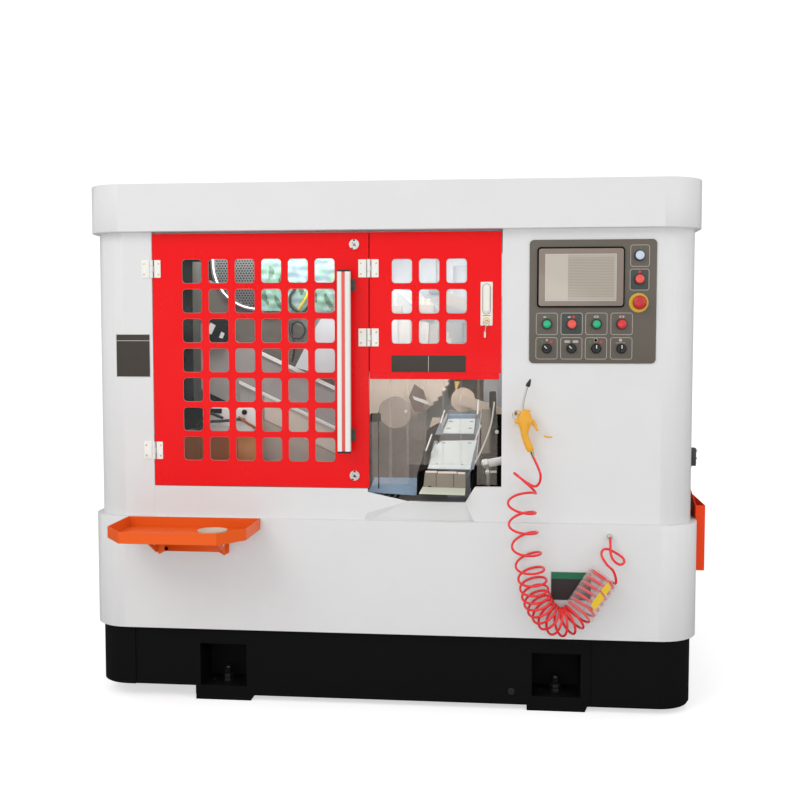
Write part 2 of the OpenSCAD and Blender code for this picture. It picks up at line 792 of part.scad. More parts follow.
module air_fittings() in_frame() {
    color("#c9a450") union() {
        peg(port_x, port_z, -skirt_front - 12, -skirt_front + skirt_t, 8 - fit);
        peg(port_x, port_z, -skirt_front - 10, -skirt_front, 13);
        peg(port_x, port_z, -skirt_front - 18, -skirt_front - 10, 9);
    }
    color("#c7c9cb") union() {
        front_plate(-3, 3) rounded(hook_x - 14, hook_z - 40, hook_x + 14, hook_z + 14, 5);
        peg(hook_x, hook_z, gun_y - 10, -2, 5);
        box(hook_x - 5, gun_y - 14, hook_z - 5, hook_x + 5, gun_y - 9, hook_z + 14);
    }
    color("#b88f3e") rod(half_w, half_w + 14, 330, 1029, 14);
    color("#3a3c40") box(half_w, 300, 807, half_w + 10, 340, 868);
}

pivot_x = 452;
pivot_z = 930;
trigger_pin_r = 2;

// The gun hangs nose up: body, slanted grip, bent nozzle tube and hose tail
module air_gun() in_frame() {
    color("#f2b01e") union() {
        difference() {
            union() {
                hull() {
                    peg(438, 950, gun_y - 13, gun_y + 13, 15);
                    peg(446, 914, gun_y - 13, gun_y + 13, 15);
                }
                hull() {
                    peg(446, 916, gun_y - 11, gun_y + 11, 13);
                    peg(461, 856, gun_y - 11, gun_y + 11, 11);
                }
            }
            box(pivot_x - 4, gun_y - 5, pivot_z - 16, pivot_x + 20, gun_y + 5, pivot_z + 12);
        }
        peg(pivot_x + 5.5, pivot_z - 1, gun_y - 7, gun_y + 7, trigger_pin_r);
    }
    color("#c9a450") translate([464, gun_y, 846]) rotate([0, 170, 0]) cylinder(h = 21, r = 7);
    color("#4a4a48") tube(smooth([[436, gun_y, 963], [431, gun_y, 990], [434, gun_y, 1015],
        [444, gun_y, 1042], [457, gun_y, 1066]], 3), 4, 10);
    color("#4a4a48") difference() {
        peg(hook_x + 1, hook_z - 4, gun_y - 3, gun_y + 3, 16);
        peg(hook_x + 1, hook_z - 4, gun_y - 4, gun_y + 4, 10);
    }
}

module gun_trigger() in_frame() color("#f2b01e") difference() {
    front_plate(gun_y - 4.5, 9) polygon([[pivot_x, pivot_z + 7], [pivot_x + 12, pivot_z + 3], [516, 898],
        [527, 887], [518, 884], [498, 896], [pivot_x + 14, pivot_z - 12], [pivot_x, pivot_z - 6]]);
    peg(pivot_x + 5.5, pivot_z - 1, gun_y - 5, gun_y + 5, trigger_pin_r + fit);
}

module air_hose() in_frame() color("#e83a30") {
    tube(smooth(HOSE_UPPER, 3), hose_r, 8);
    tube(smooth(HOSE_LOWER, 3), hose_r, 8);
}

module air_hose_coil() in_frame() color("#ee3b30") tube(smooth(HOSE_COIL, 3), coil_r, 10);

// ---- saw ----

carriage_u0 = -420;
carriage_u1 = -75;
head_v = 110;
arm_u0 = -700;
gear_r = 60;

// Sloped casting that carries the two feed rails
module machine_bed() in_frame() color("#8d9296") {
    along_feed() box(carriage_u0 - 20, bed_y, -head_v - 20, carriage_u1 + feed_travel + 20, bed_y + bed_d,
        head_v + 10);
    for (v = [-70, 70]) {
        along_feed() box(carriage_u0 - 10, rail_y, v - 12, carriage_u1 + feed_travel + 10, bed_y, v + 12);
    }
    difference() {
        box(-460, bed_y + 5, floor_z, 60, bed_y + bed_d - 5, 1350);
        along_feed() box(-900, 0, -head_v - 20, 900, body_d, 900);
    }
}

cover_u0 = -640;
cover_u1 = 60;
cover_v = -125;
cover_y = 320;
cover_left = -690;
wiper_vs = [-190, -312, -418];
wiper_t = 6;
wiper_w = 14;

// Grey covers over the feed, with bright wiper strips along them
module way_covers() in_frame() {
    color("#9b9da0") difference() {
        union() {
            along_feed() box(cover_u0, cover_y, cover_v - 300, cover_u1, cover_y + 150, cover_v);
            box(-430, cover_y + 10, floor_z, -200, cover_y + 140, 950);
        }
        along_feed() box(cover_u0 - 260, cover_y - 20, cover_v, cover_u1 + 840, cover_y + 160, cover_v + 425);
        box(cover_left - 310, cover_y - 20, 500, cover_left, cover_y + 160, 1500);
    }
    for (v = wiper_vs) {
        color("#dfe3e6") along_feed()
            box(cover_u0 + 140, cover_y - wiper_t, v, cover_u1 - 10, cover_y, v + wiper_w);
    }
}

// Arm and gearbox that carry the spindle; they slide on the rails
module saw_head() in_frame() color("#8a8f93") difference() {
    along_feed() union() {
        box(arm_u0, head_y, -head_v, -gear_r, head_y + 20, head_v + 60);
        box(-gear_r - eps, head_y, -gear_r, 0, head_y + 20, gear_r);
        box(carriage_u0, head_y + 19, -head_v, carriage_u1, head_back, head_v);
        peg(0, 0, head_y, head_y + 120, gear_r);
        box(carriage_u1 - 1, head_y + 20, 10 - gear_r, 0, head_y + 120, gear_r - 10);
    }
    along_feed() peg(0, 0, head_y - eps, head_y + 60, spindle_r + fit);
}

module drive_motor() in_frame() color("#2b4a7a") along_feed() {
    peg(cowl_u, cowl_v, head_y + 20, head_y + 38, 95);
    peg(cowl_u, cowl_v, head_y + 38, head_back - 2, 88);
    for (a = [0:15:345]) {
        translate([cowl_u, 0, cowl_v]) rotate([0, a, 0]) box(86, head_y + 38, -2, 97, head_back - 10, 2);
    }
}

cowl_r = 168;
cowl_y = 306;

// Round cover over the drive pulley, open only towards the arm
module motor_cowl() in_frame() color("#3a3d40") along_feed() difference() {
    union() {
        peg(cowl_u, cowl_v, cowl_y + 6, head_y, cowl_r - 8);
        peg(cowl_u, cowl_v, cowl_y, cowl_y + 24, cowl_r);
    }
    peg(cowl_u, cowl_v, cowl_y + 12, head_y + 1, cowl_r - 12);
}

guard_r = blade_r + 18;

// Cover over the upper half of the blade
module blade_guard() in_frame() color("#cfd6da") along_feed() intersection() {
    difference() {
        peg(0, 0, blade_y - 20, head_y - gap, guard_r);
        peg(0, 0, blade_y - 17, head_y + 1, guard_r - 3);
        peg(0, 0, blade_y - 21, blade_y, 82);
    }
    union() {
        box(-300, blade_y - 25, 0, 100, head_y, 300);
        box(-300, blade_y - 25, -head_v, -100, head_y, 0.5);
    }
}

function tooth_tip(i) = 360 * i / teeth;

// Toothed disc, its flanges and the spindle, which turn together
module saw_blade() in_frame() {
    color("#c4c8cc") along_feed() difference() {
        front_plate(blade_y - blade_t / 2, blade_t) polygon([for (i = [0:teeth - 1])
            each [blade_r * [cos(tooth_tip(i)), sin(tooth_tip(i))],
                (blade_r - 9) * [cos(tooth_tip(i + 0.22)), sin(tooth_tip(i + 0.22))],
                (blade_r - 4) * [cos(tooth_tip(i + 0.62)), sin(tooth_tip(i + 0.62))]]]);
        peg(0, 0, blade_y - 5, blade_y + 5, spindle_r + fit);
    }
    color("#5b5f63") along_feed() union() {
        peg(0, 0, blade_y - 16, head_y + 40, spindle_r);
        difference() {
            peg(0, 0, blade_y - blade_t / 2 - 9, blade_y - blade_t / 2, 62);
            peg(0, 0, blade_y - 30, blade_y + 20, spindle_r - 1);
        }
        difference() {
            peg(0, 0, blade_y + blade_t / 2, head_y - 1, 50);
            peg(0, 0, blade_y - 30, blade_y + 20, spindle_r - 1);
        }
        translate([0, blade_y - 16 + 5, 0]) rotate([90, 0, 0]) cylinder(h = 12, r = 34, $fn = 6);
    }
}

// ---- vice, stop and chute ----

vice_x0 = 165;
vice_x1 = 375;
column_x = 296;
vice_top = 1330;
rod_r = 16;
cylinder_r = 46;

module vice_frame() in_frame() {
    color("#7f868b") difference() {
        union() {
            box(vice_x0, vice_y0, floor_z, vice_x1, vice_y0 + vice_d, bar_z - bar_r);
            box(column_x, vice_y0, floor_z, vice_x1, vice_y0 + vice_d, vice_top);
            box(vice_x0, vice_y0, vice_top - 80, vice_x1, vice_y0 + vice_d, vice_top);
        }
        peg(stop_rod[0], stop_rod[1], vice_y0 - 1, vice_y0 + vice_d + 1, 10 + fit);
        translate([bar_x, vice_y0 + vice_d / 2, vice_top - 81]) cylinder(h = 90, r = rod_r + fit);
    }
    color("#b9bdc0") difference() {
        translate([bar_x, vice_y0 + vice_d / 2, vice_top]) cylinder(h = 130, r = cylinder_r);
        translate([bar_x, vice_y0 + vice_d / 2, vice_top - 1]) cylinder(h = 112, r = cylinder_r - 8);
    }
}

// Piston rod with its clamp pad, open above the bar
module vice_jaw() in_frame() color("#9aa0a5") {
    pad_z = bar_z + jaw_open;
    translate([bar_x, vice_y0 + vice_d / 2, pad_z + 30]) cylinder(h = vice_top + 90 - pad_z - 30, r = rod_r);
    box(bar_x - 44, vice_y0 + 10, pad_z, bar_x + 44, vice_y0 + vice_d - 10, pad_z + 30.5);
    translate([bar_x, vice_y0 + vice_d / 2, vice_top + 70]) cylinder(h = 20, r = cylinder_r - 8 - fit);
}

stop_y = blade_y - 26;

// Round face that the bar is pushed against, on an arm and a guide rod
module length_stop() in_frame() {
    color("#e2cdb2") peg(bar_x, bar_z, stop_y - 20, stop_y, bar_r);
    color("#8f9498") union() {
        peg(stop_rod[0], stop_rod[1], stop_y - 36, vice_y0 + vice_d - 10, 10);
        hull() {
            peg(stop_rod[0], stop_rod[1], stop_y - 38, stop_y - 20, 18);
            peg(bar_x, bar_z, stop_y - 38, stop_y - 20, 18);
        }
    }
}

chute_w = chute_x1 - chute_x0;
chute_back = 402;
wall_foot_y = flange_d + 4;
SLIDE = [[0, 777], [240, 846], [240, 866], [400, 909], [400, 940], [402, 940], [402, 907.4], [242, 864.4],
    [242, 844.4], [0, 775]];
hinge_line = [-3, 772];
chute_pin_r = 2;

// Two-step slide between side walls that stand on the floor of the sump
module chute() in_frame() color("#d3dadb") {
    side_plate(chute_x0, chute_w) polygon(SLIDE);
    for (x = [chute_x0 - 2, chute_x1]) {
        side_plate(x, 2) polygon([[wall_foot_y, floor_z], [chute_back, floor_z], [chute_back, 960],
            [300, 942], [240, 900], [60, 835], [4, 782], [4, sill_step[1][1] + 2],
            [wall_foot_y, sill_step[1][1] + 2]]);
    }
    difference() {
        union() {
            rod(chute_x0, chute_x0 + 12, hinge_line[0], hinge_line[1], 4);
            rod(chute_x1 - 12, chute_x1, hinge_line[0], hinge_line[1], 4);
            box(chute_x0, -2, 773, chute_x0 + 12, 1, 776.5);
            box(chute_x1 - 12, -2, 773, chute_x1, 1, 776.5);
        }
        rod(chute_x0 - 1, chute_x1 + 1, hinge_line[0], hinge_line[1], chute_pin_r + fit);
    }
    rod(chute_x0, chute_x1, hinge_line[0], hinge_line[1], chute_pin_r);
}

// Flap that hangs from the slide's front edge, with its lip bent outwards
module chute_flap() in_frame() color("#c9cfcf") difference() {
    union() {
        rod(chute_x0 + 12 + gap, chute_x1 - 12 - gap, hinge_line[0], hinge_line[1], 4);
        side_plate(chute_x0 + 12 + gap, chute_w - 24 - 2 * gap) polygon([[-7, 772], [-7, 718], [-42, 703],
            [-42, 701], [-5, 716], [-5, 772]]);
    }
    rod(chute_x0, chute_x1, hinge_line[0], hinge_line[1], chute_pin_r + fit);
}

tank_x0 = -690;
tank_y = 240;
tank_w = 240;
tank_d = 70;
tank_top = 868;
pump_h = 82;

// Lubricant tank with its pump block on top
module oil_unit() in_frame() {
    color("#8a6236") box(tank_x0, tank_y, floor_z, tank_x0 + tank_w, tank_y + tank_d, tank_top);
    color("#eef0f0")
        box(tank_x0 + 10, tank_y + 5, tank_top, tank_x0 + tank_w - 5, tank_y + tank_d - 5, tank_top + pump_h);
    color("#2a2b2d") translate([tank_x0 + 50, tank_y + tank_d / 2, tank_top + pump_h])
        cylinder(h = 22, r = 14);
}

base_frame();
base_end_covers();
levelling_feet();
skirt_shell();
sump_floor();
front_left_panel();
front_right_panel();
sill_panel();
left_side_panel();
right_side_panel();
rear_panel();
header_lid();
inner_wall();
hinge_leaves_fixed();
main_door();
main_door_glazing();
door_handle();
hinge_leaves_door();
upper_lock();
lower_lock();
small_door();
small_door_glazing();
small_door_hardware();
curtain_rail();
latch_lever();
strip_curtain();
operator_panel();
touch_screen();
white_button();
stop_button();
estop_head();
row_button_1();
row_button_2();
row_button_3();
row_button_4();
selector_1();
selector_2();
selector_3();
selector_4();
tool_tray();
tray_bracket();
side_pocket();
air_fittings();
air_gun();
gun_trigger();
air_hose();
air_hose_coil();
machine_bed();
way_covers();
saw_head();
drive_motor();
motor_cowl();
blade_guard();
saw_blade();
vice_frame();
vice_jaw();
length_stop();
chute();
chute_flap();
oil_unit();
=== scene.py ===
# %% [markdown]
# An enclosed automatic sawing machine, dressed in cells.
# The CAD model is the frame: every node below sits where the saw's own drawing puts it, and
# this script gives each one its paint, metal, plastic or glass, and adds the small parts
# that a drawing leaves out. Run the cells from the top; each prints what it made.

# %% Load the frame
import math

import bmesh
import bpy
import numpy as np
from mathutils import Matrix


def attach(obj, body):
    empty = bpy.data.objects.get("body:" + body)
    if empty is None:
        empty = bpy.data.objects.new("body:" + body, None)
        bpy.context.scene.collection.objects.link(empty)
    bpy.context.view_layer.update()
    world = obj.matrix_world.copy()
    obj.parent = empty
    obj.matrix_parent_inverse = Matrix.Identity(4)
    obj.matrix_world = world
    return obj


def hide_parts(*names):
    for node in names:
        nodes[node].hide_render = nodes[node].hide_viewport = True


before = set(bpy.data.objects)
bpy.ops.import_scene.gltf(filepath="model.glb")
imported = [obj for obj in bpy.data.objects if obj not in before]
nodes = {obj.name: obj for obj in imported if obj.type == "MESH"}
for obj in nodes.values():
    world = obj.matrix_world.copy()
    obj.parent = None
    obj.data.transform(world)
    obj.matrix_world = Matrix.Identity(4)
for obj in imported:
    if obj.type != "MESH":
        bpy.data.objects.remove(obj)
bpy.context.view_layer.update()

# %% [markdown]
# Where things are. The drawing measures from the cabinet's middle and the face of its front
# sheets, in millimetres. Blender works in metres about the middle of the floor area. One
# small function changes one into the other, so that every later cell can speak the
# drawing's language. The other choice is to write metres everywhere, which hides the sizes
# that a fitter would know.

# %% Machine axes to scene axes
SHIFT = np.array([-15.0, -577.5, 0.0])


def place(points):
    """Scene point = (machine point + shift) / 1000, for one point or a whole array."""
    return (np.asarray(points, float) + SHIFT) / 1000


def srgb(red, green, blue):
    """Linear colour with alpha from screen values: v / 12.92 below 0.04045, and above it
    ((v + 0.055) / 1.055) ** 2.4."""
    v = np.array([red, green, blue]) / 255
    linear = np.where(v < 0.04045, v / 12.92, ((v + 0.055) / 1.055) ** 2.4)
    return (*linear.tolist(), 1.0)


print("front sheets' face is at scene y =", place([0, 0, 0])[1])

# %% [markdown]
# The camera comes first, because the air hose is judged by what it sees. A machine of two
# metres is best seen from about three and a half metres with a normal lens, held at chest
# height, a little right of the middle. Moving closer with a wider lens would fit too, but
# the cabinet's sides would lean.

# %% Camera
SENSOR_MM = 36.0
FOCAL_PIXELS = 1100.0
FRAME_PIXELS = 800.0
CAMERA_AT = (404.6, -3494.6, 1217.9)
CAMERA_TURN = 5.89
CAMERA_TILT = 86.42

lens = bpy.data.cameras.new("camera")
lens.sensor_width = SENSOR_MM
lens.lens = FOCAL_PIXELS / FRAME_PIXELS * SENSOR_MM
lens.clip_end = 60
camera = bpy.data.objects.new("camera", lens)
bpy.context.scene.collection.objects.link(camera)
camera.location = place(CAMERA_AT)
camera.rotation_euler = (math.radians(CAMERA_TILT), 0, math.radians(CAMERA_TURN))
bpy.context.scene.camera = camera
bpy.context.scene.view_settings.view_transform = "Standard"
print("lens of", round(lens.lens, 1), "mm")

# %% [markdown]
# The air hose is a recoil hose: a long thin tube wound into a spring, so that it stretches
# to the work and pulls itself back. It hangs from the gun, sags in a U and ends in a port
# on the skirt. A spring could be made with the Screw modifier on a circle, but that gives
# even turns on a straight line. Here the turns are worked out along a hanging line instead:
# wide apart where the hose's weight pulls them, and close together round the bottom.

# %% Hose route
HOSE_UPPER = [[468, -42, 825], [474, -43, 812], [482, -44, 795], [491, -46, 769], [488, -42, 744],
              [475, -36, 731],
              [455, -30, 738], [430, -32, 755], [413, -48, 770], [409, -70, 777], [414, -90, 776],
              [433, -106, 762], [456, -108, 742], [470, -97, 727]]
HOSE_COIL = [[433, -70, 714], [433, -70, 687], [434, -70, 641], [440, -70, 587], [449, -70, 533],
             [460, -70, 479],
             [469, -70, 435], [477, -70, 397], [490, -70, 362], [511, -70, 333], [535, -70, 314],
             [562, -70, 310], [589, -70, 320], [615, -70, 346], [636, -70, 377], [657, -70, 410],
             [678, -70, 443], [690, -70, 461]]
HOSE_LOWER = [[716, -95, 478], [694, -102, 502], [679, -90, 527], [684, -74, 541], [702, -56, 540],
              [727, -48, 527],
              [747, -54, 513], [750, -64, 501], [736, -72, 496], [717, -70, 509], [709, -62, 529],
              [709, -52, 550], [709, -43, 564], [709, -40, 574]]
HOSE_RADIUS = 4.0
TURN_RADIUS = 43.0
TURN_TILT = (0.18, 0.30)
TURN_POINTS = 24
TURNS_ALONG = [[0, 0], [60, 1], [123, 2], [192, 3], [241, 4], [273, 5], [300, 6], [320, 7], [630, 22.5]]


def smoothed(points, steps):
    """Catmull-Rom curve: each span is the cubic that leaves a point along the line between its neighbours."""
    p = np.asarray(points, float)
    q = np.vstack([p[:1], p, p[-1:]])
    t = (np.arange(steps) / steps)[None, :, None]
    a, b, c, d = (q[i:len(q) - 3 + i, None, :] for i in range(4))
    spans = 0.5 * (2 * b + (c - a) * t + (2 * a - 5 * b + 4 * c - d) * t ** 2
                   + (3 * b - a - 3 * c + d) * t ** 3)
    return np.vstack([spans.reshape(-1, 3), p[-1:]])


def run_of(points):
    """Distance along a line of points: the running sum of the steps between them."""
    return np.concatenate([[0], np.cumsum(np.linalg.norm(np.diff(points, axis=0), axis=1))])


def spring_line():
    """Centre line of the wound part: at distance s the point is
    route(s) + r (A cos w + B sin w) - r lean (T sin w), where w is 2 pi times the turns up to s,
    T runs along the route, B points at the wall and A lies square to both. The lean makes each
    turn sharp inside the bend and round outside it."""
    route = smoothed(HOSE_COIL, 12)
    along = run_of(route)
    table = np.array(TURNS_ALONG, float)
    table[:, 0] *= along[-1] / table[-1, 0]
    turns = np.linspace(0, table[-1, 1], int(table[-1, 1] * TURN_POINTS) + 1)
    s = np.interp(turns, table[:, 1], table[:, 0])
    soft = np.ones(25) / 25
    s = np.convolve(np.pad(s, 12, mode="reflect", reflect_type="odd"), soft, mode="valid")
    centre = np.stack([np.interp(s, along, route[:, k]) for k in range(3)], 1)
    ahead = np.stack([np.interp(s + 8, along, route[:, k]) for k in range(3)], 1)
    behind = np.stack([np.interp(s - 8, along, route[:, k]) for k in range(3)], 1)
    way = (ahead - behind) / np.linalg.norm(ahead - behind, axis=1, keepdims=True)
    wall = np.array([0.0, 1.0, 0.0])
    across = np.cross(way, wall)
    w = 2 * np.pi * turns[:, None]
    lean = np.interp(turns, [2, 6], TURN_TILT)[:, None]
    return centre + TURN_RADIUS * (across * np.cos(w) + wall * np.sin(w) - way * lean * np.sin(w))


wound = spring_line()
lead = smoothed(HOSE_UPPER + [wound[0].tolist(), wound[3].tolist()], 8)[:-8]
tail = smoothed([wound[-4].tolist(), wound[-1].tolist()] + HOSE_LOWER, 8)[8:]
hose_line = np.vstack([lead[:-1], wound, tail[1:]])[::-1]
print("hose:", len(hose_line), "points,", round(run_of(hose_line)[-1] / 1000, 2), "m,",
      TURNS_ALONG[-1][1], "turns")

# %% [markdown]
# Blender can carry a round section along a curve by itself, so the hose is one curve object
# with a bevel. It rides with the cabinet and takes the place of the drawing's two hose nodes.

# %% Hose as a curve
hose_curve = bpy.data.curves.new("air_spring_hose", "CURVE")
hose_curve.dimensions = "3D"
hose_curve.bevel_depth = 1.0
hose_curve.bevel_resolution = 3
hose_curve.use_fill_caps = True
spline = hose_curve.splines.new("POLY")
spline.points.add(len(hose_line) - 1)
spline.points.foreach_set("co", np.c_[place(hose_line), np.ones(len(hose_line))].ravel())
spline.points.foreach_set("radius", np.full(len(hose_line), HOSE_RADIUS / 1000))
spline.use_smooth = True
hose = bpy.data.objects.new("air_spring_hose", hose_curve)
bpy.context.scene.collection.objects.link(hose)
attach(hose, "cabinet")
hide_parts("air_hose", "air_hose_coil")
print("hose hangs as one curve")

# %% [markdown]
# Sheet metal, turned parts and tubes make up nearly all of this machine, and each is a stack
# of rings: a rounded rectangle moved along one axis, a profile turned round one, or a circle
# carried along a line. Built so, an edge's softness is just one more ring. Boxes with a
# bevel on each would do, but they need a modifier apiece and give no hold on the rounding.

# %% Rings and skins
AXES = {"x": (1, 2, 0), "y": (0, 2, 1), "z": (0, 1, 2)}
THINNEST = 1e-3


def quads(rows, cols, around=True):
    """Corner numbers of a grid's faces; around joins the last column to the first."""
    i, j = np.meshgrid(np.arange(rows - 1), np.arange(cols if around else cols - 1), indexing="ij")
    k = (j + 1) % cols
    corners = [i * cols + j, i * cols + k, (i + 1) * cols + k, (i + 1) * cols + j]
    return np.stack(corners, -1).reshape(-1, 4)


def skin(rings, look=0):
    """Closed part from rings (count x points x 3): quads between them and one flat face at each end."""
    rings = np.asarray(rings, float)
    count, points = rings.shape[:2]
    ends = [list(range(points)), list(range((count - 1) * points, count * points))]
    return rings.reshape(-1, 3), quads(count, points).tolist() + ends, look


def spread(flat, height, along):
    """3-D points from 2-D ones at a height: along names the axis that the height runs on."""
    flat = np.asarray(flat, float)
    out = np.empty((len(flat), 3))
    u, v, w = AXES[along]
    out[:, u], out[:, v], out[:, w] = flat[:, 0], flat[:, 1], height
    return out


def rounded(u0, u1, v0, v1, corner, steps=5):
    """Rounded rectangle: each corner is a quarter circle of radius corner about its own centre."""
    corner = max(min(corner, (u1 - u0) / 2 - 1e-4, (v1 - v0) / 2 - 1e-4), THINNEST)
    angle = np.linspace(0, np.pi / 2, steps + 1)
    arc = np.stack([np.cos(angle), np.sin(angle)], 1) * corner
    turn = np.array([[0, 1], [-1, 0]])
    centres = [(u1 - corner, v1 - corner), (u0 + corner, v1 - corner), (u0 + corner, v0 + corner),
               (u1 - corner, v0 + corner)]
    return np.vstack([arc @ np.linalg.matrix_power(turn, k) + centres[k] for k in range(4)])


def ngon(sides, radius=1.0, centre=(0, 0)):
    """Regular polygon: radius times the cosine and sine of equal steps, about a centre."""
    angle = np.arange(sides) / sides * 2 * np.pi
    return np.stack([np.cos(angle), np.sin(angle)], 1) * radius + centre


print("outlines: a rounded rectangle of", len(rounded(0, 2, 0, 1, 0.2)), "points, polygons of any count")

# %% [markdown]
# Four kinds of part do nearly everything here: a slab with soft edges, a turned part, a tube
# along a line and a flat prism. Each gives back its points, its faces and the number of its
# material, so that any mix of them can be joined into one piece later.

# %% Kinds of part


def slab(u, v, w, along="y", corner=3.0, soft=1.0, look=0, steps=5):
    """Block over spans u, v, w with rounded corners seen along one axis; near each end the outline
    shrinks by soft over the last soft of its depth, on a quarter circle."""
    soft = min(soft, (w[1] - w[0]) / 2.01)
    a = np.linspace(0, np.pi / 2, 4)
    inset = soft * (1 - np.sin(a))
    depth = soft * (1 - np.cos(a))
    rings = []
    for i, h in zip([*inset, *inset[::-1]], [*(w[0] + depth), *(w[1] - depth[::-1])]):
        outline = rounded(u[0] + i, u[1] - i, v[0] + i, v[1] - i, max(corner - i, 0.05), steps)
        rings.append(spread(outline, h, along))
    return skin(rings, look)


def turned(profile, centre, along="y", sides=40, look=0):
    """Turned part: every (radius, height) of the profile becomes a circle about the axis through centre."""
    return skin([spread(ngon(sides, max(r, THINNEST), centre), h, along) for r, h in profile], look)


def tube(points, radius, sides=14, look=0):
    """Tube round a line: a circle stands square to the mean of the steps before and after each point,
    and each circle's start is the last one's, laid flat again."""
    p = np.asarray(points, float)
    step = np.gradient(p, axis=0)
    step /= np.linalg.norm(step, axis=1, keepdims=True)
    radius = np.broadcast_to(radius, len(p))
    u = np.cross(step[0], [0.31, 0.52, 0.79])
    angle = np.arange(sides) / sides * 2 * np.pi
    rings = []
    for centre, t, r in zip(p, step, radius):
        u = u - t * (u @ t)
        u /= np.linalg.norm(u)
        rings.append(centre + r * (np.outer(np.cos(angle), u) + np.outer(np.sin(angle), np.cross(t, u))))
    return skin(rings, look)


def prism(outline, w0, w1, along="y", look=0):
    """Flat outline given a thickness: the same outline at two heights."""
    return skin([spread(outline, w0, along), spread(outline, w1, along)], look)


def wire_ring(centre, radii, wire, count, sides):
    """Closed wire loop in the wall's plane: round an ellipse of two radii, circles of radius wire stand
    in the plane of the spoke and the depth."""
    angle = np.arange(count) / count * 2 * np.pi
    spoke = np.c_[np.cos(angle), 0 * angle, np.sin(angle) * radii[1] / radii[0]]
    small = ngon(sides, wire)
    rings = centre + radii[0] * spoke[:, None] + small[:, :1] * spoke[:, None] + small[:, 1:] * [0, 1, 0]
    return rings.reshape(-1, 3), (quads(count + 1, sides) % (count * sides)).tolist(), 0


print("parts: slab, turned, tube, prism and wire ring")

# %% [markdown]
# A piece is some parts joined into one mesh, with its materials and the body it moves with.
# Its normals are made to point outwards once, here, and smooth shading stops at every edge
# that is sharper than a fold's own rounding.

# %% Pieces
SMOOTH_BELOW = math.radians(32)
BEVEL_ABOVE = math.radians(30)
MADE = {}


def joined(parts):
    """One mesh's points, faces and looks from several parts, with the face numbers moved on."""
    points, faces, looks, base = [], [], [], 0
    for verts, part_faces, look in parts:
        points.append(verts)
        faces += [[k + base for k in face] for face in part_faces]
        looks += [look] * len(part_faces)
        base += len(verts)
    return np.vstack(points), faces, looks


def build(name, parts, materials, body, replaces=()):
    """Piece from parts: outward normals, and smooth faces with sharp edges kept by angle."""
    points, faces, looks = joined(parts)
    mesh = bpy.data.meshes.new(name)
    mesh.from_pydata(place(points).tolist(), [], faces)
    for material in materials:
        mesh.materials.append(MADE[material])
    mesh.polygons.foreach_set("material_index", looks)
    editable = bmesh.new()
    editable.from_mesh(mesh)
    bmesh.ops.recalc_face_normals(editable, faces=editable.faces)
    editable.to_mesh(mesh)
    editable.free()
    mesh.shade_smooth()
    mesh.set_sharp_from_angle(angle=SMOOTH_BELOW)
    piece = bpy.data.objects.new(name, mesh)
    bpy.context.scene.collection.objects.link(piece)
    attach(piece, body)
    if replaces:
        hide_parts(*replaces)
    return piece


def rounding(piece, width_mm):
    """Bevel on edges that turn by more than BEVEL_ABOVE, its width in millimetres."""
    bevel = piece.modifiers.new("edges", "BEVEL")
    bevel.width = width_mm / 1000
    bevel.segments = 2
    bevel.limit_method = "ANGLE"
    bevel.angle_limit = BEVEL_ABOVE
    bevel.use_clamp_overlap = True
    bevel.harden_normals = True


print("a slab has", len(slab((0, 1), (0, 1), (0, 1), corner=0.1, soft=0.1)[1]), "faces")

# %% [markdown]
# Powder coat, bare metal, plastic and glass each get one material with a few shared effects.
# The effects are node groups that give out only masks and normals: orange peel for sprayed
# paint, brushed streaks for metal, worn edges, and dust on upward faces. An image texture
# would fix the marks to one size and one unwrap, while these follow every piece alike.

# %% Node helpers


def new_group(name, outputs, inputs=()):
    """Empty node group with float inputs (name, default) and outputs (name, kind)."""
    group = bpy.data.node_groups.new(name, "ShaderNodeTree")
    for label, default in inputs:
        socket = group.interface.new_socket(label, in_out="INPUT", socket_type="NodeSocketFloat")
        socket.default_value = default
    for label, kind in outputs:
        group.interface.new_socket(label, in_out="OUTPUT", socket_type="NodeSocket" + kind)
    return group, group.nodes.new("NodeGroupInput"), group.nodes.new("NodeGroupOutput")


def add(tree, kind, **settings):
    """Node of a kind; settings whose name is a socket's set its value, the rest are properties."""
    node = tree.nodes.new("ShaderNode" + kind)
    for key, value in settings.items():
        if key in node.inputs:
            node.inputs[key].default_value = value
        else:
            setattr(node, key, value)
    return node


def ramp(tree, source, low, high, to_low=0.0, to_high=1.0):
    """Value spread from low..high to to_low..to_high, held at both ends."""
    node = add(tree, "MapRange")
    for index, value in zip((1, 2, 3, 4), (low, high, to_low, to_high)):
        node.inputs[index].default_value = value
    tree.links.new(source, node.inputs[0])
    return node.outputs[0]


print("node helpers: group, node and ramp")

# %% [markdown]
# Each effect is built once, as a node group. Peel and brush give a mask and a normal, and
# every material that wants one sets its strength on the group's own inputs.

# %% Peel and brush


def orange_peel():
    """Sprayed coat: fine noise lifts the normal a little and slow noise gives handling smudges."""
    group, given, out = new_group("orange_peel", [("Smudge", "Float"), ("Normal", "Vector")],
                                  [("Height", 0.05), ("Size", 420.0)])
    where = add(group, "TexCoord")
    fine = add(group, "TexNoise", Detail=2.0, Roughness=0.5)
    slow = add(group, "TexNoise", Scale=7.0, Detail=4.0, Roughness=0.6)
    bump = add(group, "Bump", Distance=0.0004)
    link = group.links.new
    link(where.outputs["Object"], fine.inputs["Vector"])
    link(where.outputs["Object"], slow.inputs["Vector"])
    link(given.outputs["Size"], fine.inputs["Scale"])
    link(given.outputs["Height"], bump.inputs["Strength"])
    link(fine.outputs[0], bump.inputs["Height"])
    link(ramp(group, slow.outputs[0], 0.35, 0.7), out.inputs["Smudge"])
    link(bump.outputs[0], out.inputs["Normal"])
    return group


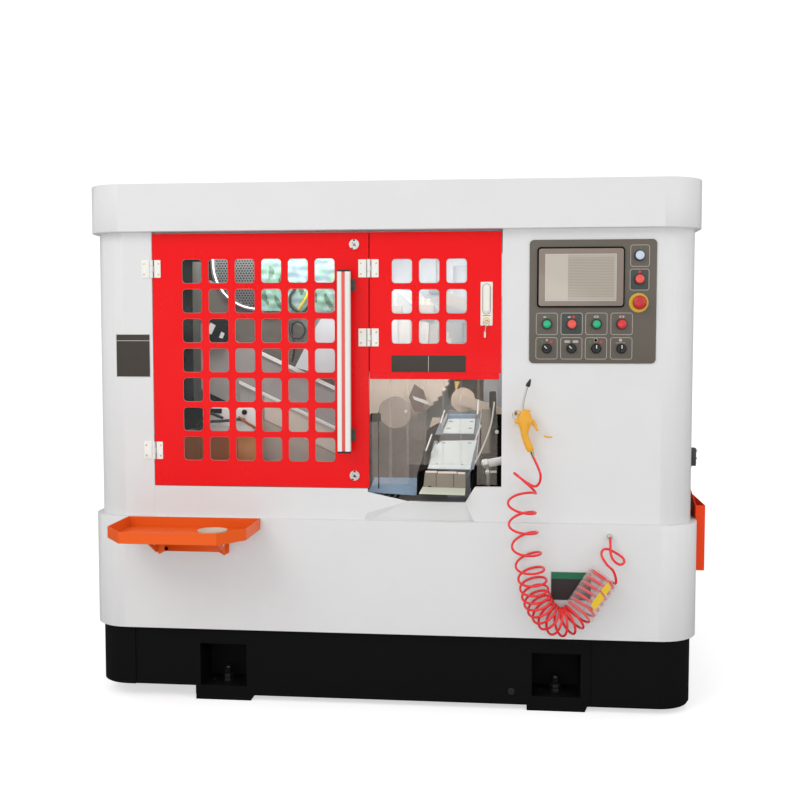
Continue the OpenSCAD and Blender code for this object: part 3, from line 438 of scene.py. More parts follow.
def brushed():
    """Brushed metal: noise stretched along x gives streaks in tone and in the normal."""
    group, given, out = new_group("brushed", [("Streak", "Float"), ("Normal", "Vector")],
                                  [("Height", 0.08)])
    where = add(group, "TexCoord")
    squeeze = add(group, "Mapping")
    squeeze.inputs["Scale"].default_value = (6.0, 260.0, 260.0)
    noise = add(group, "TexNoise", Scale=5.0, Detail=5.0, Roughness=0.7)
    bump = add(group, "Bump", Distance=0.0003)
    link = group.links.new
    link(where.outputs["Object"], squeeze.inputs["Vector"])
    link(squeeze.outputs[0], noise.inputs["Vector"])
    link(noise.outputs[0], bump.inputs["Height"])
    link(given.outputs["Height"], bump.inputs["Strength"])
    link(ramp(group, noise.outputs[0], 0.3, 0.75), out.inputs["Streak"])
    link(bump.outputs[0], out.inputs["Normal"])
    return group


print("surface effects: peel and brush")

# %% [markdown]
# Wear finds sharp convex edges by Blender's pointiness, and dust finds faces that look up.
# Both are broken up by noise, because real wear and dust are never even.

# %% Wear and dust


def worn_edges():
    """Edge wear: where the surface is sharply convex, broken up by noise."""
    group, given, out = new_group("worn_edges", [("Mask", "Float")], [("Start", 0.53)])
    shape = add(group, "NewGeometry")
    where = add(group, "TexCoord")
    noise = add(group, "TexNoise", Scale=60.0, Detail=3.0)
    over = add(group, "Math", operation="SUBTRACT")
    gain = add(group, "Math", operation="MULTIPLY", use_clamp=True)
    gain.inputs[1].default_value = 14.0
    broken = add(group, "Math", operation="MULTIPLY")
    link = group.links.new
    link(shape.outputs["Pointiness"], over.inputs[0])
    link(given.outputs["Start"], over.inputs[1])
    link(over.outputs[0], gain.inputs[0])
    link(where.outputs["Object"], noise.inputs["Vector"])
    link(gain.outputs[0], broken.inputs[0])
    link(ramp(group, noise.outputs[0], 0.4, 0.65), broken.inputs[1])
    link(broken.outputs[0], out.inputs["Mask"])
    return group


def dust():
    """Dust: upward faces gather it, in patches."""
    group, given, out = new_group("dust", [("Mask", "Float")], [("Amount", 0.3)])
    shape = add(group, "NewGeometry")
    parts = add(group, "SeparateXYZ")
    where = add(group, "TexCoord")
    noise = add(group, "TexNoise", Scale=18.0, Detail=6.0, Roughness=0.7)
    both = add(group, "Math", operation="MULTIPLY")
    total = add(group, "Math", operation="MULTIPLY")
    link = group.links.new
    link(shape.outputs["Normal"], parts.inputs[0])
    link(where.outputs["Object"], noise.inputs["Vector"])
    link(ramp(group, parts.outputs[2], 0.4, 0.95), both.inputs[0])
    link(ramp(group, noise.outputs[0], 0.35, 0.75), both.inputs[1])
    link(both.outputs[0], total.inputs[0])
    link(given.outputs["Amount"], total.inputs[1])
    link(total.outputs[0], out.inputs["Mask"])
    return group


GROUPS = {"peel": orange_peel(), "brush": brushed(), "edges": worn_edges(), "dust": dust()}
print("shader groups:", ", ".join(GROUPS))

# %% [markdown]
# A material is made in small steps: a shader with its constants, a shared effect placed in
# it, and a blend of two colours by a mask. What is the same all over a surface is set on the
# shader's own socket, and the groups feed only what changes from place to place.

# %% Steps of a material


def use(tree, key, **values):
    """A shared effect placed in a material."""
    node = tree.nodes.new("ShaderNodeGroup")
    node.node_tree = GROUPS[key]
    for label, value in values.items():
        node.inputs[label].default_value = value
    return node


def blend(tree, mask, base, other):
    """Colour that goes from base to other with the mask; base may be a colour or a socket."""
    mix = tree.nodes.new("ShaderNodeMix")
    mix.data_type = "RGBA"
    if isinstance(base, tuple):
        mix.inputs["A"].default_value = base
    else:
        tree.links.new(base, mix.inputs["A"])
    mix.inputs["B"].default_value = other
    tree.links.new(mask, mix.inputs[0])
    return mix.outputs["Result"]


def material(name, **constants):
    """Principled material with constants set on its sockets."""
    made = bpy.data.materials.new(name)
    made.use_nodes = True
    tree = made.node_tree
    surface = tree.nodes["Principled BSDF"]
    for key, value in constants.items():
        surface.inputs[key.replace("_", " ")].default_value = value
    MADE[name] = made
    return tree, surface


print("steps: material, use and blend")

# %% [markdown]
# Three recipes cover the machine: a sprayed coat, a brushed metal and a clear sheet. Each
# adds its effects in the order in which they lie on a real surface: colour, wear, then dust.

# %% Material recipes
CALM_GREY = (0.5, 0.47, 0.46, 1)
BARE_METAL = (0.3, 0.3, 0.3, 1)
DUST_ON_PAINT = (0.36, 0.34, 0.31, 1)
DUST_ON_METAL = (0.3, 0.28, 0.25, 1)


def painted(name, colour, rough, peel, soil, wear=0.0, dusty=0.0, specular=0.5, size=420.0, calm=0.0):
    """Sprayed paint: orange peel, smudges that dull it and darken it by soil, worn edges and dust. Calm takes
    colour out of the light that it throws on its neighbours."""
    tree, surface = material(name, Roughness=rough, Specular_IOR_Level=specular)
    coat = use(tree, "peel", Height=peel, Size=size)
    darker = tuple(c * soil for c in colour[:3]) + (1.0,)
    shade = blend(tree, ramp(tree, coat.outputs["Smudge"], 0, 1, 0, 0.55), colour, darker)
    if calm:
        path = add(tree, "LightPath")
        shade = blend(tree, ramp(tree, path.outputs["Is Diffuse Ray"], 0, 1, 0, calm), shade, CALM_GREY)
    if wear:
        edge = use(tree, "edges")
        shade = blend(tree, ramp(tree, edge.outputs["Mask"], 0, 1, 0, wear), shade, BARE_METAL)
    if dusty:
        fall = use(tree, "dust", Amount=dusty)
        shade = blend(tree, fall.outputs["Mask"], shade, DUST_ON_PAINT)
    tree.links.new(shade, surface.inputs["Base Color"])
    tree.links.new(ramp(tree, coat.outputs["Smudge"], 0, 1, rough - 0.04, rough + 0.07),
                   surface.inputs["Roughness"])
    tree.links.new(coat.outputs["Normal"], surface.inputs["Normal"])


def metal(name, colour, rough=0.3, height=0.06, dusty=0.0):
    """Bare or plated metal: streaks change tone, roughness and normal together."""
    tree, surface = material(name, Metallic=1.0, Roughness=rough)
    brush = use(tree, "brush", Height=height)
    darker = tuple(c * 0.78 for c in colour[:3]) + (1.0,)
    shade = blend(tree, brush.outputs["Streak"], colour, darker)
    if dusty:
        fall = use(tree, "dust", Amount=dusty)
        shade = blend(tree, fall.outputs["Mask"], shade, DUST_ON_METAL)
    tree.links.new(shade, surface.inputs["Base Color"])
    tree.links.new(ramp(tree, brush.outputs["Streak"], 0, 1, rough - 0.06, rough + 0.08),
                   surface.inputs["Roughness"])
    tree.links.new(brush.outputs["Normal"], surface.inputs["Normal"])


def clear(name, colour, alpha, rough=0.08, film=0.15, rim=0.45):
    """Clear sheet, mostly see-through: at glancing angles real reflection and a painted sheen rise; smears
    add haze.
    """
    tree, surface = material(name, Base_Color=colour, Roughness=rough, Alpha=alpha)
    edge = add(tree, "LayerWeight", Blend=0.35)
    where = add(tree, "TexCoord")
    smear = add(tree, "TexNoise", Scale=9.0, Detail=4.0)
    total = add(tree, "Math", operation="ADD", use_clamp=True)
    tree.links.new(where.outputs["Object"], smear.inputs["Vector"])
    tree.links.new(ramp(tree, edge.outputs["Facing"], 0, 1, alpha, min(alpha + rim, 1)), total.inputs[0])
    tree.links.new(ramp(tree, smear.outputs[0], 0.4, 0.8, 0, film), total.inputs[1])
    tree.links.new(total.outputs[0], surface.inputs["Alpha"])


print("recipes: painted, metal and clear")

# %% [markdown]
# Every paint, plastic and print has one row: its colour, how rough it lies, how strong its
# orange peel is, and what its smudges leave of the colour. Colours of three numbers are
# screen values, and colours of four are linear. A row per finish keeps them all in view.

# %% Paints and plastics
PAINTS = {
    "white_coat": ((240, 240, 240), 0.42, 0.04, 0.965),
    "black_coat": ((0.004, 0.004, 0.0042, 1), 0.6, 0.12, 0.93, dict(specular=0.12, dusty=0.01)),
    "red_coat": ((255, 0, 10), 0.3, 0.05, 0.985, dict(specular=0.2, calm=0.75)),
    "orange_coat": ((255, 100, 18), 0.4, 0.05, 0.99, dict(specular=0.3, calm=0.6)),
    "pocket_coat": ((255, 70, 4), 0.4, 0.05, 0.99, dict(specular=0.3, calm=0.6)),
    "casting_coat": ((0.80, 0.74, 0.67, 1), 0.5, 0.2, 0.93, dict(size=160.0, wear=0.3, dusty=0.15)),
    "grey_coat": ((0.42, 0.42, 0.41, 1), 0.42, 0.05, 0.93, dict(wear=0.15, dusty=0.1)),
    "dark_coat": ((0.05, 0.05, 0.055, 1), 0.45, 0.05, 0.93, dict(wear=0.2, dusty=0.1)),
    "motor_coat": ((58, 84, 108), 0.45, 0.15, 0.93, dict(size=180.0, wear=0.25, dusty=0.2)),
    "pale_coat": ((0.60, 0.63, 0.60, 1), 0.45, 0.05, 0.9, dict(dusty=0.1)),
    "taupe_coat": ((104, 97, 87), 0.45, 0.1, 0.93),
    "cream_handle": ((246, 250, 242), 0.4, 0.05, 0.95),
    "handle_stripe": ((252, 92, 92), 0.4, 0.05, 0.93),
    "black_plastic": ((0.012, 0.012, 0.013, 1), 0.45, 0.1, 0.93, dict(size=300.0)),
    "gun_coat": ((252, 182, 46), 0.32, 0.06, 0.9, dict(size=250.0, wear=0.1)),
    "hose_plastic": ((255, 52, 54), 0.28, 0.0, 0.96, dict(calm=0.8)),
    "tank_plastic": ((176, 96, 34), 0.4, 0.05, 0.75, dict(specular=0.2)),
    "white_plastic": ((0.74, 0.74, 0.72, 1), 0.35, 0.05, 0.93),
    "bezel_ring": ((0.045, 0.045, 0.047, 1), 0.35, 0.03, 0.93),
    "white_lens": ((216, 226, 250), 0.2, 0.0, 0.93),
    "green_lens": ((18, 196, 130), 0.22, 0.0, 0.93),
    "red_lens": ((236, 46, 52), 0.22, 0.0, 0.93),
    "yellow_plastic": ((0.8, 0.55, 0.03, 1), 0.4, 0.03, 0.93),
    "screen_frame": ((88, 82, 77), 0.35, 0.04, 0.93),
    "print_grey": ((196, 190, 180), 0.5, 0.0, 0.93),
    "plate_dark": ((70, 64, 57), 0.42, 0.04, 0.93, dict(specular=0.25)),
    "plate_rim": ((0.72, 0.72, 0.70, 1), 0.4, 0.02, 0.93),
    "plate_green": ((28, 120, 84), 0.4, 0.02, 0.93),
    "disc_beige": ((222, 205, 186), 0.4, 0.03, 0.93, dict(dusty=0.05)),
    "hinge_cream": ((255, 255, 250), 0.3, 0.02, 0.95),
    "plate_cream": ((255, 252, 242), 0.36, 0.02, 0.96),
    "print_green": ((70, 150, 74), 0.5, 0.0, 0.93),
    "print_red": ((226, 66, 66), 0.5, 0.0, 0.93),
    "panel_tint": ((66, 76, 72), 0.5, 0.02, 0.93),
    "screen_bezel": ((150, 134, 122), 0.14, 0.0, 0.8),
    "red_glow": ((250, 92, 80), 0.22, 0.0, 0.93),
    "estop_red": ((206, 46, 44), 0.28, 0.02, 0.93),
    "knob_black": ((0.007, 0.007, 0.008, 1), 0.35, 0.03, 0.93),
    "tip_rubber": ((0.02, 0.012, 0.01, 1), 0.6, 0.05, 0.93),
}
print("paints outside:", len(PAINTS))

# %% [markdown]
# Inside, the sheets of the slide, the covers, the film and the walls each have a tone of their
# own, because the windows show only a piece of each. The four cover tones are lit and shaded
# copies of one sheet: painted light and shade. The last rows are small plates.

# %% Paints inside and small plates
PAINTS.update({
    "slide_sheet": ((226, 234, 232), 0.3, 0.02, 0.94),
    "slide_under": ((120, 134, 146), 0.35, 0.03, 0.8),
    "flap_sheet": ((146, 136, 120), 0.32, 0.03, 0.8),
    "lip_sheet": ((222, 226, 206), 0.35, 0.03, 0.85),
    "knuckle_sheet": ((246, 224, 214), 0.3, 0.02, 0.93),
    "blue_sheet": ((132, 158, 182), 0.3, 0.02, 0.85),
    "pipe_white": ((0.8, 0.8, 0.8, 1), 0.35, 0.02, 0.93),
    "cowl_grey": ((0.11, 0.11, 0.105, 1), 0.4, 0.05, 0.93),
    "cover_dark": ((98, 94, 86), 0.4, 0.05, 0.75),
    "cover_blue": ((160, 156, 154), 0.36, 0.05, 0.8),
    "cover_warm": ((190, 178, 166), 0.4, 0.05, 0.85),
    "cover_light": ((222, 210, 196), 0.4, 0.05, 0.9),
    "box_grey": ((190, 183, 177), 0.4, 0.05, 0.85),
    "film_mint": ((130, 170, 150), 0.3, 0.05, 0.7, dict(size=40.0)),
    "film_white": ((136, 160, 166), 0.3, 0.05, 0.85),
    "film_shade": ((78, 108, 94), 0.3, 0.05, 0.7),
    "wall_sky": ((242, 247, 253), 0.4, 0.05, 0.97),
    "block_white": ((253, 253, 249), 0.35, 0.05, 0.93),
    "cover_pale": ((228, 221, 212), 0.4, 0.05, 0.88),
    "wiper_white": ((236, 236, 232), 0.35, 0.05, 0.93),
    "amber_edge": ((160, 112, 52), 0.25, 0.05, 0.93),
    "amber_light": ((205, 124, 20), 0.25, 0.05, 0.93),
    "bulkhead_dark": ((20, 19, 17), 0.45, 0.05, 0.75, dict(specular=0.2)),
    "green_white": ((196, 222, 206), 0.35, 0.05, 0.7),
    "vice_grey": ((172, 176, 180), 0.4, 0.05, 0.93),
    "amber_pale": ((232, 190, 104), 0.4, 0.05, 0.93),
    "guard_pale": ((206, 210, 213), 0.35, 0.05, 0.92),
    "bracket_grey": ((92, 87, 82), 0.45, 0.05, 0.93, dict(specular=0.3)),
    "plate_black": ((52, 42, 44), 0.4, 0.02, 0.93),
    "dark_steel": ((0.012, 0.012, 0.013, 1), 0.4, 0.05, 0.93),
    "label_yellow": ((248, 206, 40), 0.4, 0.05, 0.93),
    "brown_dark": ((122, 108, 96), 0.45, 0.05, 0.85),
    "plate_pink": ((244, 222, 206), 0.4, 0.05, 0.93),
    "shadow_black": ((0.004, 0.004, 0.004, 1), 0.7, 0.05, 0.93, dict(specular=0.1)),
    # blade_steel is a paint, not a metal: its pale beige is a painted reflection, the light that the blade's
    # bright steel reflects.
    "blade_steel": ((248, 234, 216), 0.42, 0.05, 0.9, dict(specular=0.4)),
    "pane_edge": ((120, 190, 180), 0.3, 0.05, 0.93),
})
for name, (colour, rough, peel, soil, *more) in PAINTS.items():
    painted(name, srgb(*colour) if len(colour) == 3 else colour, rough, peel, soil,
            **(more[0] if more else {}))
print("all paints:", len(PAINTS))

# %% [markdown]
# Bare and plated metal differ in tone and in how fine their streaks are. Clear sheets differ
# in how much of them is seen: a clean door pane, a hazy one, soft PVC and a thin sleeve.

# %% Metals and clear sheets
metal("zinc_plate", (0.66, 0.65, 0.61, 1), rough=0.34)
metal("bright_steel", (0.58, 0.58, 0.60, 1), rough=0.26)
metal("nickel", (0.72, 0.71, 0.68, 1))
metal("stainless_sheet", (0.72, 0.74, 0.75, 1), height=0.04)
metal("sump_sheet", (0.34, 0.35, 0.37, 1), rough=0.34, dusty=0.2)
metal("brass_metal", (0.78, 0.58, 0.28, 1), rough=0.28)
metal("cast_iron", (0.42, 0.40, 0.38, 1), rough=0.45, height=0.12)
clear("door_pane", (0.75, 0.9, 0.88, 1), 0.012, film=0.02, rim=0.12)
# hazy_pane is part haze and part painted light: its pale cover brightens the dim inside seen through the
# small door.
clear("hazy_pane", srgb(234, 239, 243), 0.27, film=0.03, rim=0.1)
clear("pvc_strip", srgb(228, 216, 202), 0.055, rough=0.1, film=0.05, rim=0.34)
clear("hose_sleeve", srgb(250, 226, 226), 0.10, rough=0.2, film=0.2, rim=0.35)
print("materials:", len(MADE))

# %% [markdown]
# Every node of the drawing gets its own look. Most are folded or cut sheet, so one paint
# covers a whole group. Folded steel has no knife edges: the fold itself is a small radius
# and the powder coat rounds it further, and that line of light is what tells the eye that a
# box is sheet metal. A weld and a narrow bevel give it to the drawing's sharp solids.

# %% Dress the CAD nodes
LOOKS = {
    "white_coat": ["skirt_shell", "front_left_panel", "front_right_panel", "left_side_panel",
                   "right_side_panel", "rear_panel", "header_lid", "sill_panel"],
    "black_coat": ["base_frame", "base_end_covers", "levelling_feet"],
    "red_coat": ["main_door", "small_door", "curtain_rail"],
    "pocket_coat": ["side_pocket"],
    "casting_coat": ["machine_bed"],
    "vice_grey": ["vice_frame"],
    "grey_coat": ["saw_head"],
    "sump_sheet": ["sump_floor"],
    "pale_coat": ["inner_wall", "blade_guard"],
    "zinc_plate": ["hinge_leaves_fixed", "hinge_leaves_door", "small_door_hardware",
                   "latch_lever", "upper_lock", "lower_lock"],
    "door_pane": ["main_door_glazing"],
    "hazy_pane": ["small_door_glazing"],
    "cream_handle": ["door_handle"],
    "pvc_strip": ["strip_curtain"],
    "taupe_coat": ["operator_panel"],
    "screen_frame": ["touch_screen"],
    "white_lens": ["white_button"],
    "green_lens": ["row_button_1", "row_button_3"],
    "red_lens": ["stop_button", "estop_head", "row_button_2", "row_button_4"],
    "black_plastic": ["selector_1", "selector_2", "selector_3", "selector_4"],
    "brass_metal": ["air_fittings"],
    "gun_coat": ["air_gun", "gun_trigger"],
    "hose_plastic": ["air_hose", "air_hose_coil"],
    "motor_coat": ["drive_motor"],
    "dark_coat": ["motor_cowl"],
    "bright_steel": ["vice_jaw"],
    "blade_steel": ["saw_blade"],
    "disc_beige": ["length_stop"],
    "stainless_sheet": ["chute", "chute_flap"],
    "tank_plastic": ["oil_unit"],
    "cast_iron": ["way_covers"],
}
EDGES_MM = {
    "front_left_panel": 1.5, "front_right_panel": 1.5, "left_side_panel": 1.5, "right_side_panel": 1.5,
    "rear_panel": 1.5, "skirt_shell": 2.0, "header_lid": 2.5, "main_door": 1.2, "small_door": 1.2,
    "curtain_rail": 1.5,
    "base_frame": 2.5, "saw_head": 4.0, "machine_bed": 4.0, "vice_frame": 5.0, "drive_motor": 2.5,
    "blade_guard": 1.5, "oil_unit": 4.0, "chute": 0.6, "chute_flap": 0.6, "vice_jaw": 1.5,
    "levelling_feet": 1.0,
}
print("looks for", sum(len(names) for names in LOOKS.values()), "nodes")

# %% [markdown]
# The drawing's solids come as loose triangles. A weld joins their corners and a planar
# dissolve their flat faces, so that the bevel finds the real edges only.

# %% Put the looks on
WELD_BELOW = 1e-5
FLAT_WITHIN = math.radians(0.2)


def edged(piece, width):
    """Round a drawn solid's edges: weld its split corners, join its flat triangles, then bevel."""
    weld = piece.modifiers.new("weld", "WELD")
    weld.merge_threshold = WELD_BELOW
    flat = piece.modifiers.new("flat", "DECIMATE")
    flat.decimate_type = "DISSOLVE"
    flat.angle_limit = FLAT_WITHIN
    rounding(piece, width)


for look, names in LOOKS.items():
    for name in names:
        mesh = nodes[name].data
        for slot_number in range(max(len(mesh.materials), 1)):
            if slot_number < len(mesh.materials):
                mesh.materials[slot_number] = MADE[look]
            else:
                mesh.materials.append(MADE[look])
for name, width in EDGES_MM.items():
    edged(nodes[name], width)
hose_curve.materials.append(MADE["hose_plastic"])
undressed = sorted(set(nodes) - {n for names in LOOKS.values() for n in names})
print("dressed", len(nodes) - len(undressed), "nodes; left over:", undressed)

# %% [markdown]
# The sill under the opening is one white sheet with folds in it. It leans back below the
# chute, so that the swarf box's lip clears the skirt, and turns square again at the right.
# Folding is shown here by real corners: a handful of points, joined by flat faces and given
# a sheet's thickness. A flat panel with a drawn line would not catch the light differently.

# %% Folded sill
SHEET = 3.0
sill_points = np.array([
    [-767, 0, 610], [-767, 0, 711.5], [-60, 0, 711.5], [-60, 0, 700], [70, 0, 671], [254, 0, 671],
    [284, 0, 721], [368.5, 0, 721], [368.5, 0, 610], [282, 0, 610], [281, 19, 610], [-50, 19, 610],
    [-72, 0, 610], [-66, 0, 631]])
sill_faces = [[0, 1, 2, 3, 4, 13, 12], [13, 4, 11], [4, 5, 10, 11], [5, 6, 9], [5, 9, 10], [6, 7, 8, 9],
              [13, 11, 12]]
sill = build("sill_folded", [(sill_points, sill_faces, 0)], ["white_coat"], "cabinet",
             replaces=["sill_panel"])
for polygon in sill.data.polygons:
    if polygon.normal.y > 0:
        polygon.flip()
sill.data.shade_flat()
thick = sill.modifiers.new("sheet", "SOLIDIFY")
thick.thickness = SHEET / 1000
thick.offset = -1
build("sill_flanges", [
    slab((-766, -62), (0.4, 20), (708.4, 711.4), "z", 0.4, 0.4),
    slab((72, 252), (3, 20), (667.8, 670.8), "z", 0.4, 0.4),
    slab((286, 368), (0.4, 20), (717.8, 720.8), "z", 0.4, 0.4)],
    ["white_coat"], "cabinet")
print("sill:", len(sill.data.polygons), "folded faces")

# %% [markdown]
# Bare plates stand where a maker rivets its notices: dark print with a pale rim, and one
# with a green head. One of them goes round the cabinet's rounded corner, so plates are
# built as short columns, each set on the sheet's own face. A flat plate would hang off it.

# %% Bare plates
CORNER = 110.0
HALF = 975.0


def front_face(x, half, corner):
    """Depth of the sheet's face at x: flat, then round the corner's circle."""
    over = np.clip(np.abs(x) - (half - corner), 0, corner)
    return corner - np.sqrt(corner ** 2 - over ** 2)


def plate(x, z, lift, at=0.0, half=HALF, corner=CORNER, look=0):
    """Thin plate that follows the sheet: a small upright rectangle at each of many stations along x."""
    stations = np.linspace(x[0], x[1], 13)
    face = front_face(stations, half, corner) + at
    rings = np.array([[[s, f - lift, z[0]], [s, f - lift, z[1]], [s, f + 0.5, z[1]], [s, f + 0.5, z[0]]]
                      for s, f in zip(stations, face)])
    return skin(rings, look)


plates = build("bare_plates", [
    plate((-893, -775.5), (1067, 1209), 0.5, look=1), plate((-890.5, -778), (1069.5, 1206.5), 0.8),
    plate((-890.5, -778), (1186, 1187.5), 1.0, look=1),
    plate((525, 654), (366, 460), 0.5, -22, 995, 130, look=1),
    plate((527.5, 651.5), (368.5, 457.5), 0.8, -22, 995, 130, look=3),
    plate((527.5, 651.5), (436, 457.5), 1.0, -22, 995, 130, look=2)],
    ["plate_dark", "plate_rim", "plate_green", "plate_black"], "cabinet")
small_plate = build("small_door_plate", [
    slab((16.5, 254.4), (1088, 1141), (-2.8, -1.8), corner=1, soft=0.2),
    slab((134.6, 136), (1090, 1139), (-3.0, -2.0), corner=0.3, soft=0.1, look=1)],
    ["plate_dark", "plate_rim"], "small_door")
print("plates:", len(plates.data.polygons) + len(small_plate.data.polygons), "faces")

# %% [markdown]
# The base carries the machine on levelling bolts in four pockets, with an anchor hole
# beside each, and has a drain at the right. The bolt is a stud with a hexagon nut and a
# lock nut, since that is what a spanner meets. Threads are too fine to show at this size,
# so the stud is turned with a few grooves.

# %% Levelling bolts and drain
FEET_X = (-619.5, 469.5)
POCKET = (155.0, 130.0)
BODY_DEPTH = 1400.0
DRAIN_AT = (404.0, 60.0)


def hexagon(x, y, z0, z1, across):
    """Hexagon nut: six sides, with the corners of its top turned off by a ring of smaller radius."""
    levels = [(0.9, z0), (1, z0 + 1.2), (1, z1 - 1.2), (0.9, z1)]
    return skin([spread(ngon(6, across / math.sqrt(3) * s, (x, y)), z, "z") for s, z in levels])


bolts = []
for x0 in FEET_X:
    for y in (POCKET[1] / 2, BODY_DEPTH - POCKET[1] / 2):
        x = x0 + POCKET[0] / 2
        groove = [(9.6 if k % 2 else 10.0, 47 + k * 1.5) for k in range(32)]
        bolts += [turned([(9.0, 46.5)] + groove + [(8.0, 96)], (x, y), "z", 20),
                  hexagon(x, y, 48, 58, 30), hexagon(x, y, 60, 72, 30),
                  turned([(19, 46.6), (19, 48.4)], (x, y), "z", 28)]
bolt_piece = build("levelling_bolts", bolts, ["dark_steel"], "cabinet")
build("drain_plug", [
    turned([(11, 0.5), (11, -2.5), (10, -3.2)], DRAIN_AT, "y", 28),
    prism(ngon(6, 7, DRAIN_AT), -3.1, -8.2)],
    ["black_plastic"], "cabinet")
print("bolts:", len(bolt_piece.data.polygons), "faces")

# %% [markdown]
# Round the back, the bar enters through a flanged tube, and two louvred vents let the
# cabinet breathe. Screws round the flange and along the sheet joins are what hold them on.
# The screws are button heads with a socket: a dome turned round its axis.

# %% Rear and side screws
BAR_AT = (224.6, 971.0)
FLANGE_R = 106.0


def button_screw(x, z, y, way=-1, r=4.5, look=0, along="y"):
    """Button head with a hexagon-sized socket: a dome that dips in the middle; way is its outward sign."""
    profile = [(r, y + 0.3 * way), (r, y + way * 0.8), (r * 0.8, y + way * r * 0.45),
               (r * 0.5, y + way * r * 0.52), (r * 0.46, y + way * r * 0.2)]
    return turned(profile, (x, z), along, 18, look)


flange = [button_screw(BAR_AT[0] + FLANGE_R * math.cos(a), BAR_AT[1] + FLANGE_R * math.sin(a),
                       BODY_DEPTH + 3, 1, 6) for a in np.arange(8) * math.pi / 4 + math.pi / 8]
edge_screws = [button_screw(x, z, BODY_DEPTH, 1) for x in (-820, 820)
               for z in (660, 900, 1140, 1380, 1500)]
rear_screws = build("rear_screws", flange + edge_screws, ["zinc_plate"], "cabinet")
side_screws = build("side_screws", [button_screw(y, z, s * HALF, s, along="x") for s in (-1, 1)
                                    for y in (150, 700, 1250) for z in (640, 1515)],
                    ["zinc_plate"], "cabinet")
print("screws:", len(rear_screws.data.polygons) + len(side_screws.data.polygons), "faces")

# %% [markdown]
# The door pull is an extruded profile: two cream ribs with a red stripe let in between them,
# black end caps, and grey blocks that stand it off the door. An extrusion is exactly one
# outline drawn out along its length, so that is how it is built. The red stripe is its own
# strip, as on the real profile, so it can sit a little below the ribs.

# %% Door pull
HANDLE_X = (-149.0, -108.0)
HANDLE_Y = (-62.0, -40.0)
HANDLE_Z = (831.0, 1411.0)
CAP = 6.0
rib = [(-149, -42), (-149, -59), (-147.5, -61.4), (-144.5, -62), (-137, -62), (-135.2, -61.2),
       (-134.6, -59.6),
       (-134.6, -58.6), (-124.4, -58.6), (-124.4, -59.6), (-123.8, -61.2), (-122, -62), (-112.5, -62),
       (-109.5, -61.4), (-108, -59), (-108, -42), (-110, -40), (-147, -40)]
brackets = []
for z in (885, 1365):
    brackets += [slab((-142.5, -118.5), (-40.4, -5.2), (z - 20, z + 20), "z", 2, look=3),
                 slab((-155.5, -98.5), (z - 20, z + 20), (-6.4, -2.2), "y", 3, 0.8, look=3),
                 *(turned([(3.4, -6), (3.4, -8), (2.4, -8.6)], (-106, z + dz), "y", 16, look=3)
                   for dz in (11, -11))]
pull = build("door_pull", [
    prism(rib, HANDLE_Z[0] + CAP, HANDLE_Z[1] - CAP, "z"),
    slab((-134.4, -124.6), (-59.6, -58), (HANDLE_Z[0] + CAP, HANDLE_Z[1] - CAP), "z", 0.4, 0.2, look=1),
    slab(HANDLE_X, HANDLE_Y, (HANDLE_Z[0], HANDLE_Z[0] + CAP + 0.2), "z", 3, 1.2, look=2),
    slab(HANDLE_X, HANDLE_Y, (HANDLE_Z[1] - CAP - 0.2, HANDLE_Z[1]), "z", 3, 1.2, look=2)] + brackets,
    ["cream_handle", "handle_stripe", "black_plastic", "bracket_grey"],
    "main_door", replaces=["door_handle"])
print("pull:", len(pull.data.polygons), "faces")

# %% [markdown]
# Each hinge is two pressed leaves and a rolled barrel on a pin, with two countersunk screws
# in each leaf. The leaf is drawn with the roll in it, then extruded by its knuckle's height,
# because a butt hinge is made from one strip. Knuckles alternate: the fixed leaf has the
# outer two, the door's leaf the middle one.

# %% Hinges


def hoop(outer, inner, w0, w1, along="y", look=0):
    """Flat ring with a square section between two outlines of as many points each."""
    corners = ((outer, w0), (outer, w1), (inner, w1), (inner, w0))
    loops = np.concatenate([spread(outline, w, along) for outline, w in corners])
    return loops, (quads(5, len(outer)) % len(loops)).tolist(), look


HINGE_H = 58.0
BARREL_R = 5.5
LEFT_PIN, MIDDLE_PIN = -766.0, -55.0
CELL = (87.0, 96.0)
WINDOW = (65.0, 77.0)
RIM = 0.7


def leaf(x0, x1, y0, y1, barrel_x, z, mine, dark=2):
    """Leaf plate, its knuckles at heights mine, a strip of painted shade by them, and two screws near the far
    edge.
    """
    far, near = sorted((x0, x1), key=lambda x: -abs(x - barrel_x))
    step = near - far
    way = np.sign(step)
    parts = [slab((x0, x1), (z + 0.5, z + HINGE_H - 0.5), (y0, y1), "y", 2, 0.5)]
    for low, high in mine:
        parts.append(turned([(BARREL_R - 0.6, z + low), (BARREL_R, z + low + 0.6),
                             (BARREL_R, z + high - 0.6), (BARREL_R - 0.6, z + high)],
                            (barrel_x, -8), "z", 20))
        parts.append(slab(sorted((near, barrel_x)), (z + low + 0.3, z + high - 0.3), (y0, y1),
                          "y", 0.5, 0.3))
    # Painted shade: a thin grey strip along the knuckle side, where the barrel shades the leaf.
    parts.append(slab(sorted((near + 0.2 * way, near - 1.6 * way)), (z + 1, z + HINGE_H - 1),
                      (y0 - 0.15, y0 + 0.5), "y", 0.3, 0.1, look=dark))
    for dz in (0.2, 0.79):
        parts.append(turned([(3.1, y0 + 0.4), (3.1, y0 - 0.35), (2.2, y0 - 0.6), (1.2, y0 - 0.3)],
                            (far + step * 0.3, z + HINGE_H * dz), "y", 14, look=1))
    return parts


